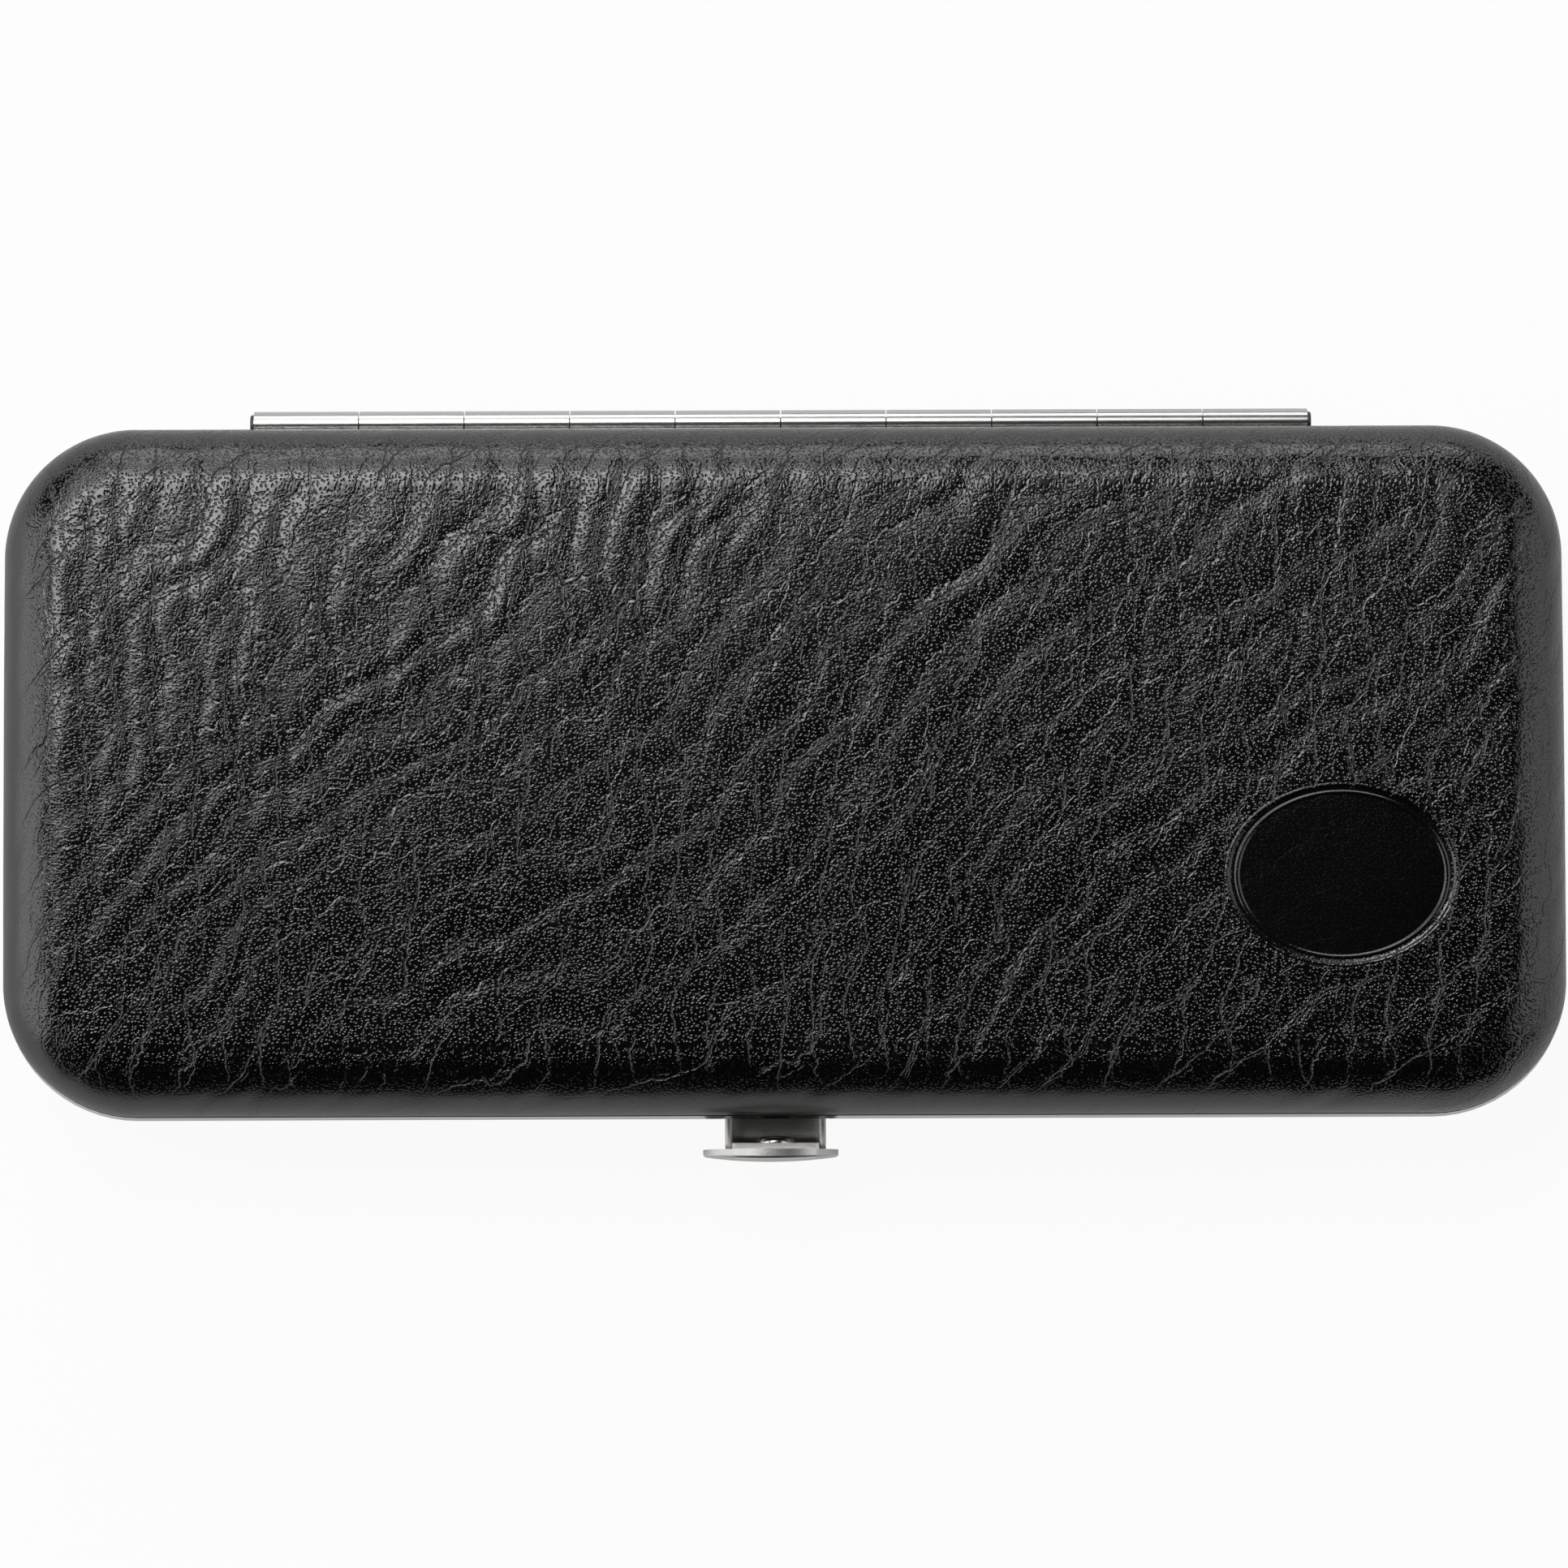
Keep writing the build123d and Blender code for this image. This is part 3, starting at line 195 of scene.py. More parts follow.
class Finish:
    """A material on Principled BSDF, and the one method that adds any other node."""

    def __init__(self, name, **sockets):
        self.material = bpy.data.materials.new(name)
        self.material.use_nodes = True
        self.tree = self.material.node_tree
        self.shader = self.tree.nodes["Principled BSDF"]
        self.feed(**sockets)

    def feed(self, **sockets):
        """Sets or links sockets of the shader, with _ for the spaces in their names."""
        for name, value in sockets.items():
            self.plug(self.shader.inputs[name.replace("_", " ")], value)

    def plug(self, socket, value):
        """Links a value to a socket, or sets a plain one."""
        if isinstance(value, Value):
            self.tree.links.new(value.socket, socket)
        elif hasattr(value, "__len__") and len(value) == 3 and socket.type == "RGBA":
            socket.default_value = (*value, 1)
        else:
            socket.default_value = value

    def add(self, kind, settings=None, sockets=None, output=0):
        """A node of a kind with its settings made first, then its sockets."""
        node = self.tree.nodes.new(kind)
        for name, value in (settings or {}).items():
            setattr(node, name, value)
        for name, value in (sockets or {}).items():
            self.plug(node.inputs[name], value)
        return Value(self, node.outputs[output])

    def place(self, *scale):
        """Object coordinates in millimetres, scaled along each axis."""
        here = self.add("ShaderNodeTexCoord", output="Object")
        return self.scaled(here, *(s / MM for s in scale or (1, 1, 1)))

    def scaled(self, where, *scale):
        """Coordinates scaled along each axis."""
        settings = {"vector_type": "POINT"}
        return self.add("ShaderNodeMapping", settings, {"Vector": where, "Scale": scale})

    def noise(self, where, scale, detail=2.0, roughness=0.5):
        """Noise from 0 to 1."""
        sockets = {"Vector": where, "Scale": scale, "Detail": detail, "Roughness": roughness}
        return self.add("ShaderNodeTexNoise", None, sockets)

    def cells(self, where, scale, feature="F1", dimensions="3D", random=1.0):
        """Distances in a pattern of cells."""
        settings = {"feature": feature, "voronoi_dimensions": dimensions}
        sockets = {"Vector": where, "Scale": scale, "Randomness": random}
        return self.add("ShaderNodeTexVoronoi", settings, sockets, "Distance")

    def warp(self, where, scale, amount):
        """Coordinates pushed about by noise."""
        sockets = {"Vector": where, "Scale": scale, "Detail": 2.0}
        push = self.add("ShaderNodeTexNoise", None, sockets, "Color")
        moved = self.add("ShaderNodeVectorMath", {"operation": "SCALE"}, {0: push, "Scale": amount})
        return self.add("ShaderNodeVectorMath", {"operation": "ADD"}, {0: where, 1: moved})

    def attribute(self, name, output="Fac"):
        """A number, or a vector, that is kept at each vertex of the mesh."""
        settings = {"attribute_type": "GEOMETRY", "attribute_name": name}
        return self.add("ShaderNodeAttribute", settings, None, output)

    def folds(self, where, name, width, wobble):
        """A crease where a phase is whole, of a width in phases, with a finer one at each side of it."""
        drift = self.noise(where, 0.5, 3.0, 0.6)
        away = (self.attribute(name) + drift * wobble * 2).math("PINGPONG", 0.5)
        aside = (away - 0.05 - 0.12 * self.noise(where, 0.2, 2.0)).math("ABSOLUTE")
        finer = 1 - aside.rise(0.0, width * 0.8)
        strength = self.noise(where, 0.13, 2.0).rise(0.3, 0.55)
        return (1 - away.rise(0.0, width)) * strength + finer * 0.4 * (drift * 2).rise(0.9, 1.3)

    def blend(self, mask, low, high):
        """A colour from low to high by a mask."""
        return self.add("ShaderNodeMix", {"data_type": "RGBA"}, {0: mask, 6: low, 7: high}, 2)

    def bump(self, height, depth):
        """A normal from a height of 0 to 1 that stands for a depth in metres."""
        sockets = {"Height": height, "Distance": depth, "Strength": 1.0}
        return self.add("ShaderNodeBump", None, sockets)


def leather_finish():
    """Black leather: a pitted grain, short wrinkles, and the creases whose phases the mesh carries, with
    painted shade in the creases and the pits.
    """
    s = bpy.context.scene.case_leather
    leather = Finish("leather_black", Specular_IOR_Level=1.0)
    here = leather.place()
    smooth = leather.attribute("smooth")
    badge = leather.attribute("badge")
    calm = (1 - smooth * 0.75) * (1 - badge * 0.72)

    # Pits of the grain, on the hide laid flat
    sheet = leather.attribute("sheet", "Vector")
    loose = leather.warp(leather.scaled(sheet, 0.93, 1.07, 1), 1.2, 0.42)
    pits = leather.cells(loose, MM / s.pit, dimensions="2D", random=0.95).rise(0.0, 0.43)
    grain = leather.noise(leather.scaled(sheet, 0.8, 1.1, 1), 1.6, 2.0, 0.5)

    # Creases where the mesh's two phases are whole, two nets between them and short wrinkles
    swept = leather.folds(here, "swept", 0.026, 0.2)
    upright = leather.folds(here, "upright", 0.036, 0.25)
    drawn = leather.warp(leather.scaled(sheet, 1, 0.7, 1), 0.7, 1.4)
    net = 1 - leather.cells(drawn, 0.5, "DISTANCE_TO_EDGE", "2D").rise(0.0, 0.07)
    wide = leather.warp(leather.scaled(sheet, 1, 0.75, 1), 0.45, 3.5)
    net_wide = 1 - leather.cells(wide, 0.21, "DISTANCE_TO_EDGE", "2D").rise(0.0, 0.045)
    wrinkle = leather.noise(leather.warp(leather.scaled(sheet, 0.5, 1.6, 1), 0.6, 0.9), 0.9, 1.0)
    wrinkle = 1 - (wrinkle - 0.5).math("ABSOLUTE").rise(0.0, 0.05)
    patch = leather.noise(here, 0.09, 2.0)
    bundle = leather.noise(here, 0.3, 2.0).rise(0.38, 0.62)
    folds = swept + upright * 0.6 + net * bundle * 0.2 + net_wide * 0.3
    folds = folds + wrinkle * patch.rise(0.42, 0.6) * 0.08

    # Two tooled lines round the pressed oval
    away = leather.attribute("oval")
    tooled = 2 - (away + 0.05).math("ABSOLUTE").rise(0.05, 0.26)
    tooled = tooled - (away + 0.85).math("ABSOLUTE").rise(0.05, 0.26)

    plain = (1 - badge * 0.96) * (1 - smooth)
    height = (pits * s.pit_depth + grain * 0.02 - folds * plain * s.groove) * calm + tooled * 0.1
    # Painted shade: the creases and the pits' hollows get a base colour 0.3 times the hide's, and the same
    # mask raises their roughness
    crease_shade_and_dullness = folds * 0.6 + (1 - pits) * 0.3
    leather.feed(
        Base_Color=leather.blend(crease_shade_and_dullness, s.hide, tuple(c * 0.3 for c in s.hide)),
        Roughness=s.shine + 0.12 * crease_shade_and_dullness + 0.08 * (patch - 0.5) + 0.2 * smooth,
        Normal=leather.bump(height, MM),
    )
    return leather.material


def nickel_finish():
    """Bright nickel plate with faint polishing lines along the case."""
    s = bpy.context.scene.case_metal
    nickel = Finish("nickel_plate", Metallic=1.0)
    lines = nickel.noise(nickel.place(0.25, 3, 3), 6.0, 3.0)
    cloud = nickel.noise(nickel.place(), 0.35, 2.0)
    nickel.feed(
        Base_Color=nickel.blend(cloud, s.nickel, tuple(c * 0.9 for c in s.nickel)),
        Roughness=0.13 + 0.08 * lines + 0.05 * cloud,
        Normal=nickel.bump(lines, 0.0015 * MM),
    )
    return nickel.material


def catch_finish():
    """Nickel plate that is worn matt at the cheeks, which thumbs rub, and smoother between them."""
    s = bpy.context.scene.case_metal
    low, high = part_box("catch_lever")
    catch = Finish("worn_nickel", Metallic=1.0)
    across = catch.add("ShaderNodeSeparateXYZ", None, {0: catch.place()}, "X")
    aside = (across - (low.x + high.x) / 2 / MM).math("ABSOLUTE")
    half = (high.x - low.x) / 2 / MM
    rubbed = aside.rise(half - 1.0, half - 0.8)
    grain = catch.noise(catch.place(), 9.0, 3.0, 0.6)
    catch.feed(
        Base_Color=catch.blend(grain * 0.6, tuple(min(1, c * 1.3) for c in s.nickel), s.nickel),
        Roughness=0.3 + 0.22 * rubbed + 0.08 * grain,
        Normal=catch.bump(grain, 0.012 * MM),
    )
    return catch.material


def shaded_pin_finish():
    """Steel of the hinge's pin with painted shade: its colour is darkened to a fifth of the spring steel's,
    so that it reads dark where it shows between the knuckles.
    """
    s = bpy.context.scene.case_metal
    pin = Finish("pin_steel_painted_shade", Metallic=1.0)
    cloud = pin.noise(pin.place(), 0.8, 3.0)
    # Painted shade: a fifth of the spring steel's colour, standing for the shade in the gaps between the
    # knuckles
    gap_shade = tuple(c * 0.2 for c in s.spring)
    pin.feed(Base_Color=pin.blend(cloud, gap_shade, tuple(c * 1.5 for c in gap_shade)), Roughness=0.4 + 0.2 * cloud)
    return pin.material


def steel_finish():
    """Satin stainless steel, brushed across the tools."""
    s = bpy.context.scene.case_metal
    steel = Finish("satin_steel", Metallic=1.0)
    brush = steel.noise(steel.place(4, 0.5, 2), 5.0, 4.0, 0.65)
    cloud = steel.noise(steel.place(), 0.3, 2.0)
    steel.feed(
        Base_Color=steel.blend(brush, s.steel, tuple(c * 0.82 for c in s.steel)),
        Roughness=0.3 + 0.14 * brush + 0.08 * cloud,
        Normal=steel.bump(brush, 0.004 * MM),
    )
    return steel.material


def spring_finish():
    """Blank spring steel and sheet, with a faint heat tint."""
    s = bpy.context.scene.case_metal
    spring = Finish("blank_steel", Metallic=1.0)
    cloud = spring.noise(spring.place(), 0.6, 4.0, 0.6)
    spring.feed(
        Base_Color=spring.blend(cloud, s.spring, tuple(c * 0.75 for c in s.spring)),
        Roughness=0.3 + 0.2 * cloud,
        Normal=spring.bump(cloud, 0.004 * MM),
    )
    return spring.material


def velour_finish():
    """Short black pile that lies in patches, with a soft sheen."""
    s = bpy.context.scene.case_fabric
    velour = Finish("velour", Sheen_Weight=0.35, Sheen_Roughness=0.4, Specular_IOR_Level=0.2)
    pile = velour.noise(velour.place(), 7.0, 3.0, 0.7)
    lie = velour.noise(velour.place(1, 0.6, 1), 0.2, 6.0, 0.65).rise(0.3, 0.7)
    velour.feed(
        Base_Color=velour.blend(pile * 0.4 + lie * 0.6, tuple(c * 0.3 for c in s.velour), s.velour),
        Roughness=0.85 + 0.1 * pile,
        Normal=velour.bump(pile, 0.09 * MM),
    )
    return velour.material


def elastic_finish():
    """Woven elastic: cords along the strap, bound by a weft that passes over and under them by turns."""
    s = bpy.context.scene.case_fabric
    elastic = Finish("woven_elastic", Sheen_Weight=0.25, Sheen_Roughness=0.5, Specular_IOR_Level=0.3)
    along = elastic.attribute("along") * (2 * math.pi / 0.7)
    across = elastic.attribute("across") * (math.pi * s.strap_cords / 8)
    weave = along.math("SINE") * across.math("COSINE") * 0.5 + 0.5
    fuzz = elastic.noise(elastic.place(), 6.0, 3.0, 0.7)
    elastic.feed(
        Base_Color=elastic.blend(weave * 0.6 + fuzz * 0.4, tuple(c * 0.35 for c in s.elastic), s.elastic),
        Roughness=0.68 + 0.2 * fuzz,
        Normal=elastic.bump(weave * 0.75 + fuzz * 0.25, 0.12 * MM),
    )
    return elastic.material


def foam_finish():
    """Open foam under the leather."""
    s = bpy.context.scene.case_fabric
    foam = Finish("foam")
    pores = foam.cells(foam.place(), 2.2)
    foam.feed(
        Base_Color=foam.blend(pores, s.foam, tuple(c * 0.6 for c in s.foam)),
        Roughness=0.9 + 0.05 * pores,
        Normal=foam.bump(pores, 0.1 * MM),
    )
    return foam.material


def grip_finish():
    """Moulded black plastic with a fine spark-eroded grain."""
    s = bpy.context.scene.case_fabric
    grip = Finish("moulded_grip")
    grain = grip.noise(grip.place(), 5.0, 2.0)
    grip.feed(
        Base_Color=grip.blend(grain, s.grip, tuple(c * 1.5 for c in s.grip)),
        Roughness=0.32 + 0.12 * grain,
        Normal=grip.bump(grain, 0.012 * MM),
    )
    return grip.material


def grit_finish():
    """The file's blade: steel with a coat of fine grit."""
    s = bpy.context.scene.case_metal
    grit = Finish("grit")
    grains = grit.cells(grit.place(), 5.0)
    grit.feed(
        Base_Color=grit.blend(grains.rise(0.2, 0.7), tuple(c * 0.9 for c in s.steel), s.spring),
        Metallic=0.6 + 0.3 * grains,
        Roughness=0.4 + 0.25 * grains,
        Normal=grit.bump(1 - grains, 0.06 * MM),
    )
    return grit.material


FINISHES = {
    "leather": leather_finish,
    "nickel": nickel_finish,
    "tool_steel": steel_finish,
    "spring_steel": spring_finish,
    "shell_steel": spring_finish,
    "lining": velour_finish,
    "elastic": elastic_finish,
    "padding": foam_finish,
    "file_grip": grip_finish,
    "grit": grit_finish,
    "worn_nickel": catch_finish,
    "pin": shaded_pin_finish,
}


MADE = {}


def finish(name):
    """A finish's material, made when it is first asked for."""
    if name not in MADE:
        MADE[name] = FINISHES[name]()
    return MADE[name]


def dress(node, name):
    """Gives a CAD node a finish."""
    piece = frame["nodes"][node]
    piece.data.materials.clear()
    piece.data.materials.append(finish(name))


# Meshes


def make_piece(name, points, faces, body, slot, replaced, numbers=None, crisp=40.0):
    """A mesh object of points and faces that rides on a body and stands for CAD nodes."""
    mesh = bpy.data.meshes.new(name)
    mesh.from_pydata(points, [], faces)
    mesh.shade_smooth()
    mesh.set_sharp_from_angle(angle=math.radians(crisp))
    for key, values in (numbers or {}).items():
        values = np.asarray(values, np.float32)
        kind, field = ("FLOAT", "value") if values.ndim == 1 else ("FLOAT_VECTOR", "vector")
        mesh.attributes.new(key, kind, "POINT").data.foreach_set(field, values.ravel())
    mesh.materials.append(finish(slot))
    piece = bpy.data.objects.new(name, mesh)
    bpy.context.scene.collection.objects.link(piece)
    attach(piece, body)
    if replaced:
        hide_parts(*replaced)
    return piece


def quads(rows, columns, start=0, closed=False):
    """Faces of a grid numbered row by row. A closed grid joins its last column to its first."""
    last = columns if closed else columns - 1
    r, c = np.meshgrid(np.arange(rows - 1), np.arange(last), indexing="ij")
    right = (c + 1) % columns
    corners = (r * columns + c, r * columns + right, (r + 1) * columns + right, (r + 1) * columns + c)
    return start + np.stack(corners, -1).reshape(-1, 4)


def smooth_step(value, low, high):
    """0 below low, 1 above high, with the smooth cubic between them."""
    t = np.clip((value - low) / (high - low), 0, 1)
    return t * t * (3 - 2 * t)


class Form:
    """One half of the case as a surface on an unrolled rectangle.

    A point (p, q) of the rectangle lies at a depth m from the nearest border. The first lengths of m go
    up the wall, the next go round the edge, and the rest run in over the top. Where a ring of equal m
    turns a corner, the last part of its side is bent into an arc of the plan's corner.
    """

    def __init__(self, half_x, half_y, lip, top, corner, edge, crown):
        self.flat = None
        self.half_x = half_x
        self.half_y = half_y
        self.lip = lip
        self.top = top
        self.side = 1 if top > lip else -1
        self.corner = corner
        self.edge = edge
        self.crown = crown
        self.bend = (half_y ** 2 + crown ** 2) / (2 * crown) if crown else FLAT_BEND
        self.wall = abs(top - lip) - edge - crown
        self.turn = edge * math.pi / 2
        self.reach = self.wall + self.turn
        self.size_p = half_x - edge + self.reach
        self.size_q = half_y - edge + self.reach

    def depth(self, p, q):
        """Distance of (p, q) from the nearest border of the rectangle."""
        return np.minimum(self.size_p - abs(p), self.size_q - abs(q))

    def drop(self, y, inset=0.0):
        """Fall of the crown from its middle: a circle's arc across the case."""
        radius = self.bend - inset
        return radius - np.sqrt(radius ** 2 - y ** 2)

    def surface(self, p, q, side=0.0, top=0.0, cut=0.0):
        """Points of the surface at (p, q), drawn in by side at the walls and top at the top.

        cut moves the border's ring up the wall by a length, and the next rings by less, to none.
        """
        fade = 2.2 * self.wall
        m = self.depth(p, q)
        s = m + cut * np.clip(1 - m / fade, 0, 1)
        inset = np.where(s < self.reach, self.edge, self.edge + s - self.reach)
        on_x = self.size_p - abs(p) <= self.size_q - abs(q)

        # The outline of the plan drawn in by inset
        straight_x = self.half_x - self.corner
        straight_y = self.half_y - self.corner
        ring = self.reach - m
        along = np.where(on_x, abs(q), abs(p))
        straight = np.where(on_x, straight_y, straight_x)
        sharp = np.where(on_x, self.half_y - self.edge, self.half_x - self.edge) + ring
        past = np.clip(along - straight, 0, None)
        room = np.maximum(sharp - straight, 1e-9)
        turned = np.clip(past / room, 0, 1) * math.pi / 4
        turned = np.where(inset < self.corner, turned, 0.0)
        radius = np.maximum(self.corner - inset, 0.0)
        nx = np.where(on_x, np.cos(turned), np.sin(turned))
        ny = np.where(on_x, np.sin(turned), np.cos(turned))
        rounded = inset < self.corner
        bent_x = rounded & (on_x | (past > 0))
        bent_y = rounded & (~on_x | (past > 0))
        x = np.where(bent_x, straight_x + radius * nx, abs(p)) * np.sign(p)
        y = np.where(bent_y, straight_y + radius * ny, abs(q)) * np.sign(q)
        nx = nx * np.sign(p)
        ny = ny * np.sign(q)
        over = np.clip(ring, 0, None)
        self.flat = np.stack([x + nx * over, y + ny * over, 0 * x], -1)

        # Round the edge: a ball of the edge's radius that touches the wall and the crown
        slope = y / np.sqrt(self.bend ** 2 - y ** 2)
        tilt = np.arctan(slope * ny)
        share_up = np.clip((s - self.wall) / self.turn, 0, 1)
        angle = math.pi / 2 - share_up * (math.pi / 2 - tilt)
        ball = self.top - self.side * (self.drop(y) + self.edge * np.sqrt(1 + (slope * ny) ** 2))
        edge_x = x + nx * (self.edge - side) * np.sin(angle)
        edge_y = y + ny * (self.edge - side) * np.sin(angle)
        edge_z = ball + self.side * (self.edge - top) * np.cos(angle)
        up = np.clip(s / self.wall, 0, 1)
        wall_z = self.lip + (ball - self.lip) * up
        z = np.where(s < self.wall, wall_z, edge_z)

        on_top = s >= self.reach
        top_z = self.top - self.side * (self.drop(y, top) + top)
        x = np.where(on_top, x, edge_x)
        y = np.where(on_top, y, edge_y)
        z = np.where(on_top, top_z, z)
        return np.stack([x, y, z], -1)


def grid_normals(points, flip):
    """Unit normals of a grid of points, from the cross product of its two directions."""
    across = np.gradient(points, axis=1)
    along = np.gradient(points, axis=0)
    normal = np.cross(across, along) * flip
    return normal / np.maximum(np.linalg.norm(normal, axis=-1, keepdims=True), 1e-12)


def border(rows, columns):
    """Numbers of a grid's border vertices, once round in order."""
    number = np.arange(rows * columns).reshape(rows, columns)
    return np.concatenate(
        [number[0, :-1], number[:-1, -1], number[-1, :0:-1], number[:0:-1, 0]]
    )


def stitch(fine, coarse, kept):
    """Triangles between a fine loop and a coarse loop that has the fine loop's points numbered kept.

    Each edge of the fine loop makes a triangle with the coarse point before it, and each edge of the
    coarse loop makes one with the fine point at its end.
    """
    count = len(fine)
    step = np.arange(count)
    owner = np.searchsorted(kept, step, side="right") - 1
    fans = np.stack([fine[step], fine[(step + 1) % count], coarse[owner]], -1)
    after = (np.arange(len(coarse)) + 1) % len(coarse)
    ends = fine[np.append(kept[1:], 0)]
    links = np.stack([coarse, ends, coarse[after]], -1)
    return np.concatenate([fans, links])


def closed_skin(form, lines_p, lines_q, skip, shown, hidden, relief, cut_of, inward=False):
    """A closed skin: a fine grid with relief, a coarse grid behind it, and a band that joins their borders.

    shown and hidden are the (side, top) insets of the two grids. relief gives the height along the
    normal at (p, q). inward is for a skin that is seen from inside the case.
    """
    p, q = np.meshgrid(lines_p, lines_q)
    cut = cut_of(p, q)
    fine = form.surface(p, q, *shown, cut)
    flip = -form.side if inward else form.side
    height = relief(p, q, fine)
    fine = fine + grid_normals(fine, flip) * height[..., None]

    keep_p = np.unique(np.append(np.arange(0, len(lines_p), skip), len(lines_p) - 1))
    keep_q = np.unique(np.append(np.arange(0, len(lines_q), skip), len(lines_q) - 1))
    coarse = form.surface(p, q, *hidden, cut)[np.ix_(keep_q, keep_p)]

    rows, columns = p.shape
    kept_grid = np.zeros((rows, columns), bool)
    kept_grid[np.ix_(keep_q, keep_p)] = True
    rim = border(rows, columns)
    kept = np.flatnonzero(kept_grid.ravel()[rim])
    start = rows * columns
    inner_rim = border(len(keep_q), len(keep_p)) + start
    outer_faces = quads(rows, columns)
    inner_faces = quads(len(keep_q), len(keep_p), start)[:, ::-1]
    band = stitch(rim, inner_rim, kept)[:, ::-1]
    if flip < 0:
        outer_faces, inner_faces, band = (f[:, ::-1] for f in (outer_faces, inner_faces, band))
    points = np.concatenate([fine.reshape(-1, 3), coarse.reshape(-1, 3)])
    faces = outer_faces.tolist() + inner_faces.tolist() + band.tolist()
    return points, faces, len(points) - start


def lines(size, flat, fine, side, extra=()):
    """Grid lines from -size to size: fine over the flat middle, wider over the turned borders."""
    middle = np.linspace(-flat, flat, 2 * round(flat / fine) + 1)
    edge = np.linspace(flat, size, round((size - flat) / side) + 1)[1:]
    return np.unique(np.concatenate([-edge, middle, edge, np.array(list(extra))]))


def grid_lines(form, spacing, side, extra=()):
    """Grid lines along and across a form, with extra ones along it."""
    lines_p = lines(form.size_p, form.half_x - form.edge, spacing, side, extra)
    return lines_p, lines(form.size_q, form.half_y - form.edge, spacing, side)


def lid_form():
    """The lid's form."""
    s = bpy.context.scene.case_form
    return Form(
        SKIN_HIGH.x, SKIN_HIGH.y, SKIN_LOW.z, SKIN_HIGH.z, s.corner, s.lid_edge, s.crown
    )


def base_form():
    """The base's form, with its top down."""
    s = bpy.context.scene.case_form
    return Form(BASE_HIGH.x, BASE_HIGH.y, BASE_HIGH.z, BASE_LOW.z, s.corner, s.base_edge, 0.0)


# Leather

# Radius at which the leather turns in at the lip, how far the oval is sunk and how far the leather swells
# round it, and the distance to the oval that is kept where there is none
TURNED_IN = 0.4 * MM
BADGE_SUNK = 0.16 * MM
BADGE_SWELL = 0.05 * MM
FAR_FROM_OVAL = 9 * MM
SWEPT_LEAN = math.radians(44)


def waves(u, v, seed, count=6, low=0.5, high=2.0):
    """Smooth noise from -1 to 1: a sum of sine waves of random direction and length."""
    dice = np.random.default_rng(seed)
    total = np.zeros(u.shape)
    for _ in range(count):
        angle, phase = dice.random(2) * 2 * math.pi
        pace = low + (high - low) * dice.random()
        total += np.sin(pace * (u * math.cos(angle) + v * math.sin(angle)) + phase)
    return total / math.sqrt(count)


def hide_creases(p, q, seed):
    """Phases of the hide's two families of creases at (p, q): a crease lies where a phase is whole.

    The upright family runs across the case and the swept family leans over it. Slow waves bend both.
    """
    s = bpy.context.scene.case_leather
    u, v = p / MM, q / MM
    slow = 2.6 * waves(u, v, seed, 6, 0.05, 0.13) + 0.8 * waves(u, v, seed + 1, 6, 0.35, 0.9)
    slower = 3.2 * waves(u, v, seed + 2, 6, 0.04, 0.1) + 0.9 * waves(u, v, seed + 3, 6, 0.35, 0.9)
    upright = (u - 0.12 * v + slow) / (s.upright / MM)
    swept = (v * math.cos(SWEPT_LEAN) - u * math.sin(SWEPT_LEAN) + slower) / (s.swept / MM)
    return upright, swept


def bulge(phase):
    """Height of a cell between whole phases: half the arc of a circle and half a wave, both 1 midway."""
    away = 2 * np.abs(phase - np.round(phase))
    return (np.sqrt(1 - (1 - away) ** 2) + np.sin(away * math.pi / 2) ** 2) / 2


def oval(x, y):
    """Distance to the pressed oval's rim, less than 0 inside it.

    It is the scaled radius less 1, times the mean half size, so it is near the true distance.
    """
    s = bpy.context.scene.case_leather
    a, b = s.badge_long / 2, s.badge_wide / 2
    radius = np.hypot((x - s.badge_x) / a, (y - s.badge_y) / b)
    return (radius - 1) * (a + b) / 2


